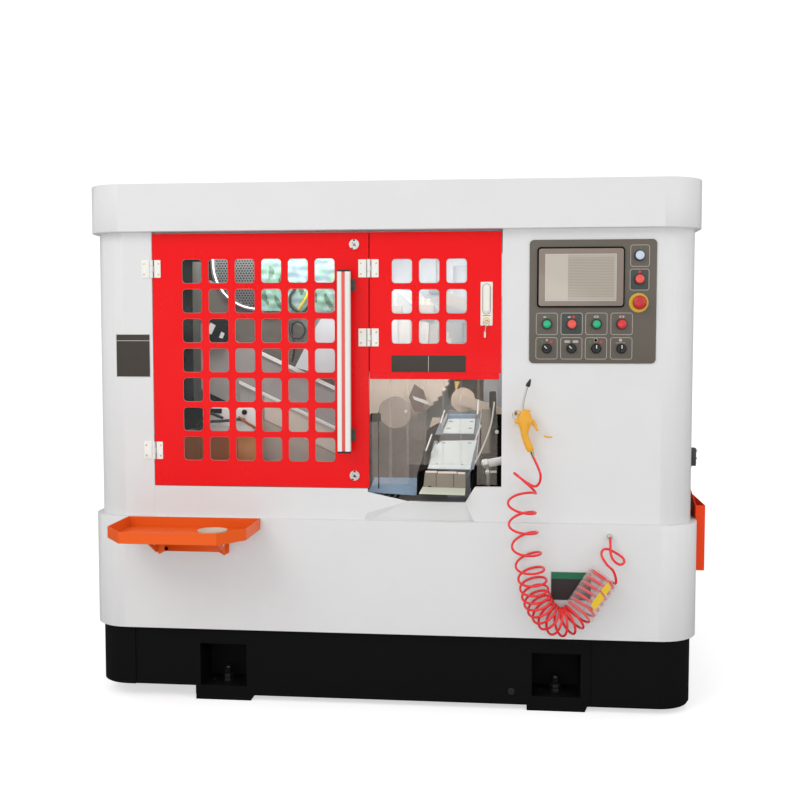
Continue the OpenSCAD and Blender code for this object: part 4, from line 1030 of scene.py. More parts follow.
OUTER = ((0.3, 19.0), (39.0, 57.7))
MIDDLE = ((19.5, 38.5),)
HINGE_LOOKS = ["hinge_cream", "brass_metal", "bracket_grey"]
fixed_parts, main_parts, small_parts = [], [], []
for z in (799.0, 1390.5):
    fixed_parts += leaf(-801, -772.5, -3, 0, LEFT_PIN, z, OUTER)
    main_parts += leaf(-759.5, -737, -5, -2.2, LEFT_PIN, z, MIDDLE)
for z in (1169.0, 1388.5):
    main_parts += leaf(-89, -61.5, -5, -2.2, MIDDLE_PIN, z, OUTER)
    small_parts += leaf(-48.5, -24, -5, -2.2, MIDDLE_PIN, z, MIDDLE, 3)
hinge_cabinet = build("hinges_on_cabinet", fixed_parts, HINGE_LOOKS, "cabinet",
                      replaces=["hinge_leaves_fixed"])
hinge_main = build("hinges_on_main_door", main_parts, HINGE_LOOKS, "main_door",
                   replaces=["hinge_leaves_door"])
build("closing_strip", [slab((-74, -44), (1088, 1530), (18.6, 20.6), "y", 1, 0.5)], ["red_coat"],
      "main_door")
for body, x0, z0, columns, rows in (("main_door", -666, 797, 6, 7), ("small_door", 17.5, 1178, 3, 3)):
    rims = [hoop(rounded(x, x + WINDOW[0], z, z + WINDOW[1], 12),
                 rounded(x + RIM, x + WINDOW[0] - RIM, z + RIM, z + WINDOW[1] - RIM, 12 - RIM), 0.2, 0.95)
            for x in x0 + CELL[0] * np.arange(columns) for z in z0 + CELL[1] * np.arange(rows)]
    build(body + "_pane_rims", rims, ["pane_edge"], body)
print("hinges:", len(hinge_cabinet.data.polygons) + len(hinge_main.data.polygons), "faces")

# %% [markdown]
# The small door shuts with a recessed swing handle on a cream plate, and a key that stays
# in it on a ring. The grip lies in a long well with a round end. The well is a rim standing
# on the plate, since cutting the plate would show nothing more than the rim's shadow does.

# %% Swing handle and key
KEY_AT = (319.0, 1252.4)
small_hardware = build("swing_handle_plate", small_parts + [
    slab((300, 338), (1235.6, 1373), (-5, -2.2), "y", 2.5, 0.8, look=2),
    hoop(rounded(306.0, 332.0, 1270.8, 1367.6, 12.9, 10), rounded(307.2, 330.8, 1272, 1366.4, 11.7, 10),
         -5.25, -4.8, look=3),
    slab((306.5, 331.5), (1266.2, 1268), (-5.25, -4.8), "y", 0.6, 0.3, look=3),
    turned([(9, -4.8), (9, -9), (8, -10)], KEY_AT, "y", 28, look=1),
    turned([(4.5, -9.8), (4.5, -12), (3.8, -12.6)], KEY_AT, "y", 20, look=1)],
    ["hinge_cream", "brass_metal", "plate_cream", "bracket_grey"], "small_door",
    replaces=["small_door_hardware"])
build("key_on_ring", [
    wire_ring((318, -13, 1243.5), (9, 9.5), 1.1, 32, 8),
    tube([[318, -13.6, 1234.5], [316.5, -13.2, 1226], [315, -12.8, 1216]], [2.2, 2.2, 2.2], 10),
    slab((311.5, 317.5), (1197, 1217), (-14, -12.4), "y", 1.2, 0.4, look=1)],
    ["bright_steel", "zinc_plate"], "small_door")
build("swing_handle_grip", [
    slab((309.2, 328.8), (1277.6, 1364.4), (-15, -5.45), "y", 9.7, 2.2, steps=10)],
    ["plate_cream"], "latch_lever", replaces=["latch_lever"])
print("swing handle:", len(small_hardware.data.polygons), "faces")

# %% [markdown]
# The main door has a quarter-turn lock at its top and bottom corner: a bright round cap
# with a slot for a two-winged key. Each turns with its lock, so each is its own piece.

# %% Quarter-turn locks
for name, x, z in (("upper_lock", -102.4, 1493.7), ("lower_lock", -102.4, 753.5)):
    build(name + "_cap", [
        turned([(12, -2.3), (14.8, -2.3), (14.8, -4.4), (13.6, -5.9), (10.6, -6), (9.8, -4.2)],
               (x, z), "y", 36),
        turned([(9.6, -3.8), (9.6, -4.6), (9.2, -4.8)], (x, z), "y", 30, 1),
        turned([(5.2, -4), (5.2, -6.2), (4.2, -6.8)], (x, z), "y", 20),
        slab((x - 1.6, x + 1.6), (z - 3.6, z + 3.6), (-7.1, -6.4), "y", 0.8, 0.2, look=1),
        slab((x - 3.4, x + 3.4), (z + 10.6, z + 15.4), (-6.5, -5.4), "y", 1.6, 0.3, look=1),
        slab((x - 9.5, x - 3.2), (z - 14.2, z - 10.4), (-6.5, -5.4), "y", 1.6, 0.3, look=1)],
        ["bright_steel", "shadow_black"], name)
print("lock caps on both corners")

# %% [markdown]
# The operator's panel is a printed plate with a touch screen, six lit push buttons, four
# turn switches and a stop mushroom. Every device sits in its own printed frame. The prints
# are thin raised parts, not a painted image, so they stay crisp at any distance and carry
# no words: only the bar and the dot that mean on and off everywhere.

# %% Panel plate, bezels and prints
PANEL_X, PANEL_Z = (453.0, 845.0), (1117.0, 1503.0)
COLUMNS = (508.0, 585.0, 661.4, 739.2)
ROW_Z, SWITCH_Z = 1240.0, 1163.5
WHITE_AT, STOP_AT, ESTOP_AT = (791.4, 1452.4), (791.9, 1379.4), (790.6, 1306.2)
FACE = -4.0


def printed_frame(x, z, look):
    """Thin outline with round corners: two rounded rectangles 1.6 mm apart."""
    return hoop(rounded(x[0], x[1], z[0], z[1], 8, 6),
                rounded(x[0] + 1.6, x[1] - 1.6, z[0] + 1.6, z[1] - 1.6, 6.4, 6),
                FACE + 0.2, FACE - 0.3, look=look)


def bezel(at, radius, look):
    """Black ring round a device: a low collar with a chamfer, open in the middle."""
    inner = radius - 5.2
    return turned([(inner, FACE + 0.2), (radius, FACE + 0.2), (radius, FACE - 3.2),
                   (radius - 1.6, FACE - 5), (inner, FACE - 5), (inner - 0.4, FACE - 0.2)], at,
                  "y", 36, look)


panel_parts = [slab(PANEL_X, PANEL_Z, (-4, -0.1), "y", 14, steps=8)]
panel_parts += [printed_frame((763.6, 822.6), (1418, 1485.6), 2),
                printed_frame((762.6, 822), (1344.6, 1411), 2)]
for x in COLUMNS:
    panel_parts += [printed_frame((x - 33.8, x + 33.8), (1206.4, 1275.2), 2),
                    printed_frame((x - 34.4, x + 33.4), (1129.8, 1198.6), 2),
                    bezel((x, ROW_Z), 17, 1)]
panel_parts += [bezel(WHITE_AT, 17, 1), bezel(STOP_AT, 17, 1)]
dim = [slab((COLUMNS[1] - 31, COLUMNS[1] + 31), (1209, 1272.6), (-4.12, -3.9), "y", 6, 0.05, look=7),
       slab((765.4, 819.2), (1347.4, 1408.2), (-4.12, -3.9), "y", 6, 0.05, look=7)]
panel_parts += [turned([(27.5, FACE + 0.2), (30, FACE + 0.2), (30, -5.4), (29, -6.2), (15, -6.2),
                        (15, -5)], ESTOP_AT,
                       "y", 48, 3),
                turned([(15, -5.2), (15, -16.6), (14, -17.4)], ESTOP_AT, "y", 36, 1)]


def bar(x, z, look, w=3.2, h=8.6):
    """Printed bar: on."""
    return slab((x - w / 2, x + w / 2), (z - h / 2, z + h / 2), (-4.35, -3.9), "y", 0.8, 0.08, look=look)


def dot(x, z, look, r=4.2):
    """Printed dot: off."""
    return turned([(r, -3.9), (r, -4.35)], (x, z), "y", 20, look)


def oval(x, z, look, w=10.0, h=5.4):
    """Printed oval: a plain mark."""
    return slab((x - w / 2, x + w / 2), (z - h / 2, z + h / 2), (-4.32, -3.9), "y", h / 2,
                0.06, look=look)


panel_parts += dim + [
    bar(793.5, 1475.8, 4, 3, 7), dot(792.7, 1402, 5),
    oval(501.5, 1262, 2), bar(513.8, 1262.6, 4), oval(577.6, 1262, 2), dot(591, 1262.4, 5),
    oval(661, 1262.6, 2, 16, 7.4), bar(661, 1262.6, 4, 8, 2.6), oval(739.6, 1262.6, 2, 16, 7.4),
    dot(739.6, 1262.6, 5, 3.2),
    bar(494, 1184, 4), dot(508.2, 1189.8, 2, 3.2), dot(521, 1184, 5), oval(572, 1185.2, 2, 18, 8),
    oval(597.4, 1185.2, 2, 18, 8), bar(643.6, 1184, 4), dot(660, 1189.6, 2, 6), dot(660, 1189.6, 0, 4.6),
    dot(676, 1184, 5), dot(736.4, 1190, 2, 5.2), bar(736.4, 1181.4, 2, 30, 1.4)]
panel = build("operator_panel_face", panel_parts, [
    "taupe_coat", "bezel_ring", "print_grey", "yellow_plastic", "print_green",
    "print_red", "screen_frame", "panel_tint"], "cabinet",
    replaces=["operator_panel"])
print("panel:", len(panel.data.polygons), "faces")

# %% [markdown]
# The touch screen has a black gasket edge, a glossy bezel and the screen proper, showing a
# page of plain lines. The lines live in the material, as rows across a region, so the glass
# over them stays one flat, glossy face.

# %% Touch screen


def screen_page():
    """Screen: warm pale page; where x lies in the right part, thin rows darken it."""
    tree, surface = material("screen_page", Roughness=0.18)
    where = add(tree, "TexCoord")
    parts = add(tree, "SeparateXYZ")
    rows = add(tree, "Math", operation="SINE")
    scale = add(tree, "Math", operation="MULTIPLY")
    scale.inputs[1].default_value = 2 * math.pi / 0.0048
    tree.links.new(where.outputs["Object"], parts.inputs[0])
    tree.links.new(parts.outputs[2], scale.inputs[0])
    tree.links.new(scale.outputs[0], rows.inputs[0])
    left = ramp(tree, parts.outputs[0], place([571, 0, 0])[0], place([573, 0, 0])[0])
    right = ramp(tree, parts.outputs[0], place([714, 0, 0])[0], place([712, 0, 0])[0])
    low = ramp(tree, parts.outputs[2], 1.3245, 1.3255)
    high = ramp(tree, parts.outputs[2], 1.447, 1.446)
    mask = ramp(tree, rows.outputs[0], -0.1, 0.7, 0.0, 0.55)
    for edge in (left, right, low, high):
        gate = add(tree, "Math", operation="MULTIPLY")
        tree.links.new(mask, gate.inputs[0])
        tree.links.new(edge, gate.inputs[1])
        mask = gate.outputs[0]
    page = blend(tree, left, srgb(206, 196, 184), srgb(190, 180, 166))
    shade = blend(tree, mask, page, srgb(140, 130, 118))
    tree.links.new(shade, surface.inputs["Base Color"])


screen_page()
screen = build("touch_screen_unit", [
    slab((476.5, 746.6), (1291.6, 1480), (-10.6, -3.9), "y", 11, 1.6, steps=8),
    slab((481.6, 742.6), (1296.4, 1475), (-11.6, -10), "y", 8, 0.6, look=1, steps=8),
    slab((501.6, 721), (1312, 1458), (-12, -11.4), "y", 0.6, 0.3, look=2),
    slab((503, 719.6), (1313.4, 1456.6), (-12.1, -11.8), "y", 0.3, 0.05, look=3)],
    ["shadow_black", "screen_bezel", "plate_rim", "screen_page"], "cabinet",
    replaces=["touch_screen"])
print("screen:", len(screen.data.polygons), "faces")

# %% [markdown]
# A lit push button is a lens cap on a stem: a flat disc with a rolled edge that stands just
# proud of its bezel. A turn switch is a round skirt with a finger grip, and a white line
# that shows which way it points. Each moves on its own joint, so each is one piece.

# %% Buttons and switches


def lens_cap(at, r):
    """Button: narrow stem inside the bezel, then a cap whose face is slightly domed."""
    profile = [(10.6, -8.6), (10.6, -13.3), (r - 0.4, -13.5), (r, -14.3), (r, -21.2), (r - 0.9, -22.8),
               (r * 0.8, -23.5), (r * 0.4, -23.95), (r * 0.15, -24)]
    return [turned(profile, at, "y", 36)]


CAPS = [("white_button", WHITE_AT, "white_lens", 13.6), ("stop_button", STOP_AT, "red_glow", 13.6),
        ("row_button_1", (COLUMNS[0], ROW_Z), "green_lens", 11.8),
        ("row_button_2", (COLUMNS[1], ROW_Z), "red_glow", 13.6),
        ("row_button_3", (COLUMNS[2], ROW_Z), "green_lens", 11.8),
        ("row_button_4", (COLUMNS[3], ROW_Z), "red_lens", 13.6)]
for name, at, look, r in CAPS:
    build(name + "_cap", lens_cap(at, r), [look], name,
          replaces=[name])
build("stop_mushroom", [turned(
    [(14, -23), (14, -27), (20, -28.5), (21.8, -30), (21.8, -34), (20.4, -37.6), (16.5, -40.4),
     (9, -41.8), (3, -42)],
    ESTOP_AT, "y", 48)], ["estop_red"], "estop_head", replaces=["estop_head"])


def switch(x, degrees):
    """Turn switch: skirt, finger grip and pointer line, the last two turned about the skirt's axis."""
    a = math.radians(degrees)
    turn = np.array([[math.cos(a), -math.sin(a)], [math.sin(a), math.cos(a)]])
    grip = rounded(-4, 4, -12.8, 12.8, 3.4) @ turn.T + (x, SWITCH_Z)
    tip = rounded(-3, 3, -11.8, 11.8, 2.6) @ turn.T + (x, SWITCH_Z)
    mark = rounded(-1.7, 1.7, 0.5, 11.4, 1, 4) @ turn.T + (x, SWITCH_Z)
    return [turned([(15.4, -4.3), (15.8, -5.2), (15.4, -9.6), (13.4, -12), (12.6, -13.3)],
                   (x, SWITCH_Z), "y", 36),
            skin([spread(grip, -12.8, "y"), spread(grip, -23.6, "y"), spread(tip, -25.3, "y")]),
            prism(mark, -25.0, -25.55, "y", 1)]


for number, (x, degrees) in enumerate(zip(COLUMNS, (45, 45, 0, 0)), 1):
    name = f"selector_{number}"
    build(name + "_knob", switch(x, degrees), ["knob_black", "white_plastic"], name,
          replaces=[name])
print("buttons and switches:", len(CAPS) + 5)

# %% [markdown]
# The air gun is a die-cast body with a bent nozzle, hung by its loop on a brass hook. Its
# body is a hull of rings along the palm's line, wide at the valve and narrow at the ferrule.
# A sculpted mesh would be smoother, but rings give exact sizes and stay light.

# %% Air gun


def flat_ring(x, z, ux, uz, half_w, half_t, y=-42.0, points=20):
    """Superellipse round (x, z): across runs along (ux, uz) in the wall's plane, thickness along y."""
    c, s = ngon(points).T
    across = np.sign(c) * np.abs(c) ** 0.7 * half_w
    deep = np.sign(s) * np.abs(s) ** 0.7 * half_t
    return np.stack([x + across * ux, y + deep, z + across * uz], 1)


def gun_hull(stations):
    """Rings along a line of (x, z, half width, half thickness), each square to the line's direction."""
    line = np.array([[x, z] for x, z, _, _ in stations], float)
    way = np.gradient(line, axis=0)
    way /= np.linalg.norm(way, axis=1, keepdims=True)
    return skin([flat_ring(x, z, -w[1], w[0], hw, ht) for (x, z, hw, ht), w in zip(stations, way)])


grip = gun_hull([(436, 974, 4, 5), (437.4, 970.5, 9, 8), (439, 965, 15, 10.5), (440, 956, 20, 12.4),
                 (439.6, 944, 23, 13), (440, 932, 22.4, 13), (441, 920, 17.5, 12.8),
                 (440.4, 908, 13.6, 12.2), (441, 895, 11.6, 11.8), (444.6, 881, 11.4, 11.2),
                 (450.6, 866, 11.8, 11), (455.6, 854, 12.2, 11), (459.4, 846, 11.2, 10.4),
                 (461, 841.6, 7, 8)])
lug = gun_hull([(411, 941, 3, 4), (413, 936, 6, 6), (420, 935, 8, 8), (430, 937, 10, 9),
                (438, 940, 10, 9)])
nose = gun_hull([(446, 966, 4, 5), (452, 969.5, 2.6, 4.4), (459, 970, 1.8, 3.6)])
pivot = turned([(10.4, -29), (12, -29.8), (12, -54.2), (10.4, -55)], (452, 936), "y", 32)
screw = turned([(3.4, -54.8), (3.4, -55.6), (2.4, -56)], (452, 936), "y", 16)
gun = build("air_gun_body", [grip, lug, nose, pivot, screw], ["gun_coat"], "cabinet",
            replaces=["air_gun"])
nozzle_line = smoothed([[434, -42, 968], [434.6, -42, 980], [436.4, -42, 996], [440, -42, 1014],
                        [445, -42, 1034], [450, -42, 1049]], 6)
tip_line = smoothed([[448.4, -42, 1045], [450.4, -42, 1050], [454, -42, 1059], [457.6, -42, 1068.4]], 4)
tip_r = np.interp(np.arange(len(tip_line)), [0, 2, 6, len(tip_line) - 1], [4.6, 7.2, 6.4, 2.0])
build("air_gun_nozzle", [
    tube(nozzle_line, 3.0),
    tube(tip_line, tip_r, 16, 1)], ["zinc_plate", "tip_rubber"], "cabinet")
ferrule_line = np.array([[463, -42, 850], [464.2, -42, 843], [466.4, -42, 832], [468, -42, 825]])
build("air_gun_ferrule", [
    tube(ferrule_line[:3], [7, 7, 6.2], 6), tube(ferrule_line[2:] + [[0, 0, 1], [0, 0, 0]],
            [5.4, 5], 16)],
    ["brass_metal"], "cabinet")
print("gun:", len(gun.data.polygons), "faces, nozzle", round(run_of(nozzle_line)[-1]), "mm")

# %% [markdown]
# The trigger is the gun's only moving part, so it is a piece of its own: a tapering blade
# with a thin rod to its tip. The wire loop behind the gun is what it hangs by.

# %% Trigger and hanging loop
trigger_line = smoothed([[457.5, -42, 937], [466, -42, 934], [473, -42, 924], [478, -42, 913],
                         [481, -42, 906]], 6)
trigger_w = np.interp(np.arange(len(trigger_line)), [0, 10, 18, len(trigger_line) - 1],
                      [8.0, 6.4, 3.4, 3.0])
way = np.gradient(trigger_line, axis=0)
way /= np.linalg.norm(way, axis=1, keepdims=True)
rod = smoothed([[480, -42, 908], [488, -42, 901], [497, -42, 894], [506, -42, 889.6]], 5)
trigger_tip = smoothed([[501, -42, 891.6], [508, -42, 889], [517, -42, 887.4], [527, -42, 887]], 5)
build("air_gun_lever", [
    skin([flat_ring(p[0], p[2], -w[2], w[0], hw, 4.4) for p, w, hw in zip(trigger_line, way, trigger_w)]),
    tube(rod, 1.7, 10, 1), tube(trigger_tip, [2.6] * 4 + [3.0] * 8 + [2.6, 2.2, 1.4, 1.2], 12)],
    ["gun_coat", "white_plastic"], "gun_trigger", replaces=["gun_trigger"])
build("air_gun_loop", [wire_ring((417.5, -42, 956), (14.5, 14.5), 1.5, 40, 10)], ["zinc_plate"],
      "cabinet")
print("trigger:", round(run_of(trigger_line)[-1]), "mm long")

# %% [markdown]
# The gun hangs from a brass hook on a small white plate. The hose's other end has a port: a
# hexagon against the sheet, a collar, and the barb that the hose is pushed on to. On the
# machine's right side sit the air supply stud and a dark block with four screws.

# %% Hook, port and side fittings
build("gun_hook", [
    slab((401, 425), (921, 970), (-3, -0.1), "y", 5, 0.8, look=1),
    tube(smoothed([[413, -1, 958], [413, -30, 958], [413, -50, 959], [413, -55, 964],
                   [413, -55.6, 971]], 5), 3.4),
    turned([(6.4, -2.8), (6.4, -6), (5.4, -7)], (413, 958), "y", 6),
    button_screw(413, 930, -2.8, -1, 3.6)],
    ["brass_metal", "white_coat"], "cabinet", replaces=["air_fittings"])
build("side_fittings", [
    turned([(14, 975), (14, 979), (9, 980), (9, 986), (6.5, 987), (6.5, 989)], (330, 1029), "x", 24),
    turned([(11, 974.9), (11, 979.5)], (330, 1029), "x", 6),
    slab((128, 196), (778, 842), (974.9, 981), "x", look=1),
    slab((134, 166), (781, 839), (980, 996), "x", 4, 1.5, look=1)]
    + [turned([(4, 995.6), (4, 999), (3, 1000)], (y, z), "x", 16, 2)
       for y, z in ((142, 831), (158, 820), (144, 806), (158, 790))],
    ["brass_metal", "dark_coat", "zinc_plate"], "cabinet")
PORT_AT = (709.0, 574.0)
port = build("port_nut", [prism(ngon(6, 8.6, PORT_AT), -21.9, -31.8),
                          turned([(6.6, -32), (6.6, -38), (5.4, -40)], PORT_AT, "y", 24)],
             ["nickel"], "cabinet")
rounding(port, 0.8)
print("port:", len(port.data.polygons), "faces")

# %% [markdown]
# The last turns of a new hose are still wrapped in crumpled foil, with a yellow tag tucked
# in. The wrap is one tube round the turns, whose radius wavers with two sine waves.

# %% Foil and tag
FOIL_RADIUS = 49.5
FOIL_FROM, FOIL_TO = 0.765, 0.985
route = smoothed(HOSE_COIL, 12)
route = route[int(len(route) * FOIL_FROM):int(len(route) * FOIL_TO)]
crumple = 1 + 0.018 * np.sin(np.arange(len(route)) * 1.1) + 0.012 * np.sin(np.arange(len(route)) * 3.1)
build("hose_foil", [tube(route, FOIL_RADIUS * crumple, 36)], ["hose_sleeve"], "cabinet")
build("hose_tag", [prism([(640, 394), (656, 351), (710, 427), (694, 467)], -120, -118.6),
                   prism([(647, 382), (656, 360), (686, 401), (673, 420)], -120.5, -119.9, "y", 1),
                   prism([(676, 426), (689, 408), (706, 433), (697, 451)], -120.5, -119.9, "y", 1)],
      ["hose_sleeve", "label_yellow"], "cabinet")
print("foil over", len(route), "stations")

# %% [markdown]
# The tool tray is folded from one blank, with a round insert at its right rear: a beige
# cup for measuring tools. It hangs on a bracket with two gusset ears.

# %% Tray, cup and bracket studs


def grown(outline, by):
    """Outline moved outward by a distance: each corner goes along the sum of its sides' normals,
    over 1 + their dot."""
    p = np.asarray(outline, float)
    side = np.roll(p, -1, 0) - p
    side /= np.linalg.norm(side, axis=1, keepdims=True)
    normal = np.stack([side[:, 1], -side[:, 0]], 1)
    before = np.roll(normal, 1, 0)
    return p + by * (normal + before) / (1 + (normal * before).sum(1))[:, None]


TRAY = [(-850, -22.2), (-850, -213), (-781, -305), (-478, -305), (-409, -213), (-409, -22.2)]
tray = build("tray_folded", [
    hoop(np.array(TRAY), grown(TRAY, -2.6), 576, 612, "z"), prism(grown(TRAY, -2.4), 576.2, 579, "z")],
    ["orange_coat"], "cabinet", replaces=["tool_tray"])
rounding(tray, 0.9)
build("tray_cup", [turned([(32, 578.8), (43, 581), (46.5, 590), (46.5, 592), (44.8, 592), (41, 583.6),
                           (30, 581.4), (3, 581)], (-537, -134), "z", 56)], ["disc_beige"], "cabinet")
build("tray_studs", [turned([(6, -28.6), (6, -30.6), (3.6, -31), (3.6, -33), (3, -33.6)],
                            (x, 508), "y", 20)
                     for x in (-722, -531)], ["shadow_black"], "cabinet")
EARS_X = (-755, -525)
bracket_ears = [prism([(-25, 576.4), (-232, 576.4), (-232, 565), (-120, 540), (-40, 498), (-25, 498)],
                      x, x + 4, "x")
                for x in EARS_X]
ear_holes = [turned([(r, x - 0.5), (r, x + 4.5)], (y, z), "x", 24, 1) for x in EARS_X
             for y, z, r in ((-62, 536, 11), (-98, 548, 7))]
lugs = build("tray_bracket_folded", bracket_ears + ear_holes + [
    slab((-755, -521), (499, 577), (-25.6, -22.2), "y", 1.5, 0.5),
    prism([(-545, 540), (-545, 499), (-528, 489), (-513, 498), (-513, 540)], -28.8, -22.2),
    prism([(-758, 535), (-758, 503), (-746, 489), (-728, 499), (-726, 535)], -28.8, -22.2)],
    ["orange_coat", "white_coat"], "cabinet", replaces=["tray_bracket"])
rounding(lugs, 0.8)
print("tray:", len(tray.data.polygons), "faces")

# %% [markdown]
# Behind the opening, cut pieces slide down a chute of two pale plates on a darker pan, over a
# hinged flap and out. Each plate is an outline cut from sheet and laid on the slope, so it
# is built flat, as a polygon in plan, and its height comes from the slope's own formula.

# %% Chute plates, pan and side boards


def slope(y):
    """Height of the slide at depth y, in the two runs that its pan is folded into."""
    y = np.asarray(y, float)
    return np.where(y < 236, 779 + y * 0.2875, 868 + (y - 240) * 0.26875)


def laid(plan, thick, lift, look):
    """Sheet cut to a plan of (x, y) and laid on the slope."""
    plan = np.asarray(plan, float)
    rings = [np.c_[plan, slope(plan[:, 1]) + lift], np.c_[plan, slope(plan[:, 1]) + lift + thick]]
    return skin(rings, look)


def board(x_front, x_back, outline, thick, look):
    """Upright board beside the slide: an outline of (y, z) whose x goes from front to back with y."""
    outline = np.asarray(outline, float)
    x = np.interp(outline[:, 0], [0, 400], [x_front, x_back])
    return skin([np.c_[x, outline], np.c_[x + thick, outline]], look)


def slot_mark(x, y, half, lift):
    """Countersunk slot or screw on the slide: a flat dark disc, half its length along x and 3 mm along y."""
    return laid(ngon(18) * (half, 3) + (x, y), 0.5, lift, 5)


left_board = [(-6, 716), (-4, 700), (6, 692), (30, 690), (400, 700), (400, 868), (352, 826),
              (250, 800), (190, 784), (90, 772), (14, 764), (-3, 748)]
right_board = [(6, 690), (400, 700), (400, 904), (300, 862), (150, 806), (30, 762), (4, 735)]
wing_y = np.linspace(2, 398, 12)
wing = skin([[[104, y, z], [131 + 0.105 * y, y, s], [131 + 0.105 * y, y, s + 1.5], [104, y, z + 1.5]]
             for y, z, s in zip(wing_y, np.interp(wing_y, [0, 190, 350, 400], [766, 788, 830, 872]),
                                slope(wing_y) - 2)], 3)
chute_parts = [
    laid([(133, 2), (281, 2), (287, 235), (137, 235)], 2, -3, 1),
    laid([(140, 240), (288, 240), (291, 398), (152, 398)], 2, -3, 1),
    laid([(134, -2), (270, -4), (275, 120), (284, 234), (166, 226), (146, 186)], 2, 0, 0),
    laid([(166, 242), (271, 240), (271.6, 384), (177, 382)], 2, 1, 0),
    laid([(176, 384), (272, 386), (274, 398), (180, 398)], 14, 1, 6),
    # The side boards and the wing wear shadow black: painted shade on walls that stand in shadow inside the
    # opening.
    board(99, 99, left_board, 4, 3), board(272, 293, right_board, 4, 3), wing,
    # The three thin white boards are painted highlights: bright lines along the top edges of the side walls.
    board(134, 172, [(60, 806), (150, 832), (150, 846), (60, 822)], 1.6, 4),
    board(136, 172, [(270, 880), (392, 912), (392, 928), (270, 896)], 1.6, 4),
    board(285, 292, [(40, 792), (230, 848), (300, 892), (396, 918), (396, 934), (300, 910), (226, 866),
                     (40, 800)], 1.6, 4)]
chute_parts += [slot_mark(*mark) for mark in (
    (161, 32, 3, 2.1), (243, 29, 3, 2.1), (171, 206, 7, 2.1), (259, 208, 7, 2.1),
    (187, 352, 7, 3.1), (260, 354, 7, 3.1), (183, 286, 7, 3.1), (257.5, 288, 7, 3.1))]
chute = build("chute_slide", chute_parts, ["slide_sheet", "slide_under", "flap_sheet", "shadow_black",
                                           "pipe_white", "panel_tint", "blue_sheet"],
              "cabinet", replaces=["chute"])
print("chute:", len(chute.data.polygons), "faces")

# %% [markdown]
# The flap hangs from a three-part knuckle at the slide's end, and swings out when a piece
# pushes it. It is one folded sheet with a turned-out lip, and it moves on its own joint. The
# blue guide beside it steers chips back into the sump.

# %% Flap and guide
flap = build("flap_on_hinge", [
    slab((126.5, 164), (765.5, 772.5), (-8, -4.6), "y", 2.4, 1.6, look=1),
    slab((166, 227), (764, 771), (-8, -4.6), "y", 2.4, 1.6, look=1),
    slab((229, 254), (762.5, 769.5), (-8, -4.6), "y", 2.4, 1.6, look=1),
    skin([[[125, -7, 766], [254.5, -7, 763], [254.5, -5, 763], [125, -5, 766]],
          [[120, -7, 720], [254.5, -7, 717], [254.5, -5, 717], [120, -5, 720]]]),
    slab((160.4, 161.6), (721, 765), (-7.5, -6.8), "y", 0.3, 0.1, look=3),
    slab((216.4, 217.6), (721, 765), (-7.5, -6.8), "y", 0.3, 0.1, look=3),
    skin([[[118, -6, 719], [254.5, -6, 716], [254.5, -6, 718], [118, -6, 721]],
          [[109, -42, 702.6], [254.5, -42, 700], [254.5, -42, 702], [109, -42, 704.6]]], 2),
    skin([[[136, -7.6, 724], [146, -7.6, 723.6], [144, -7.2, 719.4], [138, -7.2, 719.6]],
          [[136, -6.6, 724], [146, -6.6, 723.6], [144, -6.6, 719.4], [138, -6.6, 719.6]]], 3)],
    ["flap_sheet", "knuckle_sheet", "lip_sheet", "shadow_black"], "chute_flap",
    replaces=["chute_flap"])
rounding(flap, 0.4)
guide = build("swarf_guide", [
    skin([[[-66, 46, 692], [92, 46, 684], [92, 46, 686], [-66, 46, 694]],
          [[-57, 66, 710], [94, 66, 710], [94, 66, 712], [-57, 66, 712]],
          [[-57, 150, 726], [94, 150, 726], [94, 150, 728], [-57, 150, 728]]])], ["blue_sheet"],
    "cabinet")
print("flap and guide:", len(flap.data.polygons) + len(guide.data.polygons), "faces")

# %% [markdown]
# A white drain pipe crosses at the right, with a clamp and a brass drop below it, and a
# thin clear hose slants down to the flap. Their ends are fixed in the machine, so they are
# pipes, built as tubes along short smoothed lines.

# %% Pipes at the opening
pipes = build("coolant_pipes", [
    tube(smoothed([[376, 84, 800], [366, 80, 797], [342, 80, 792], [312, 80, 785]], 4), 13.5, 20),
    tube([[326, 80, 788.5], [325, 80, 788.2], [308, 80, 784], [307, 80, 783.8]],
         [15.5, 16.4, 16.4, 15.5], 20, 1),
    tube([[309, 80, 784.5], [303, 80, 783]], [10, 9], 20, 2),
    tube([[322, 80, 784], [322, 80, 768], [322, 80, 760], [323, 80, 752], [324, 80, 640]],
         [8, 8, 9.4, 8, 8], 18, 2),
    turned([(11, 753), (12, 756), (12, 764), (11, 767)], (322, 80), "z", 6, 1),
    tube(smoothed([[352, 80, 760], [344, 80, 761], [330, 80, 759]], 4), 4, 12)],
    ["pipe_white", "zinc_plate", "cast_iron"], "cabinet")
thin_line = smoothed([[344, 64, 990], [338, 60, 943], [332, 60, 911], [319, 60, 872], [297, 60, 820],
                      [269, 60, 768], [254, 56, 742]], 8)
thin = build("clear_drip_pipe", [tube(thin_line, 2.6, 12)], ["white_plastic"], "cabinet")
build("terminal_blocks_and_shadow_sheet", [
    slab((333, 362), (118, 150), (842, 903), "z"), slab((337, 362), (118, 150), (772, 836), "z"),
    turned([(6.4, 118.2), (6.4, 112), (5, 111)], (352, 888), "y", 20, 1),
    turned([(2.6, 113), (2.6, 110)], (352, 888), "y", 12, 2),
    slab((300, 330), (150, 180), (812, 960), "z", 4, 2, look=3),
    # Painted shadow: a black sheet behind the strips at the right, where the inside lies in shade.
    slab((262, 372), (196, 202), (690, 812), "z")],
    ["shadow_black", "white_plastic", "brass_metal", "flap_sheet"], "cabinet")
print("pipes:", len(pipes.data.polygons) + len(thin.data.polygons), "faces")

# %% [markdown]
# The curtain is seven PVC strips that overlap like roof tiles, so a piece can push through
# and chips cannot. Soft PVC takes a set: every strip bows a little across and waves down its
# length. A flat sheet would show one even tone, while the bow gives each its bright edge.

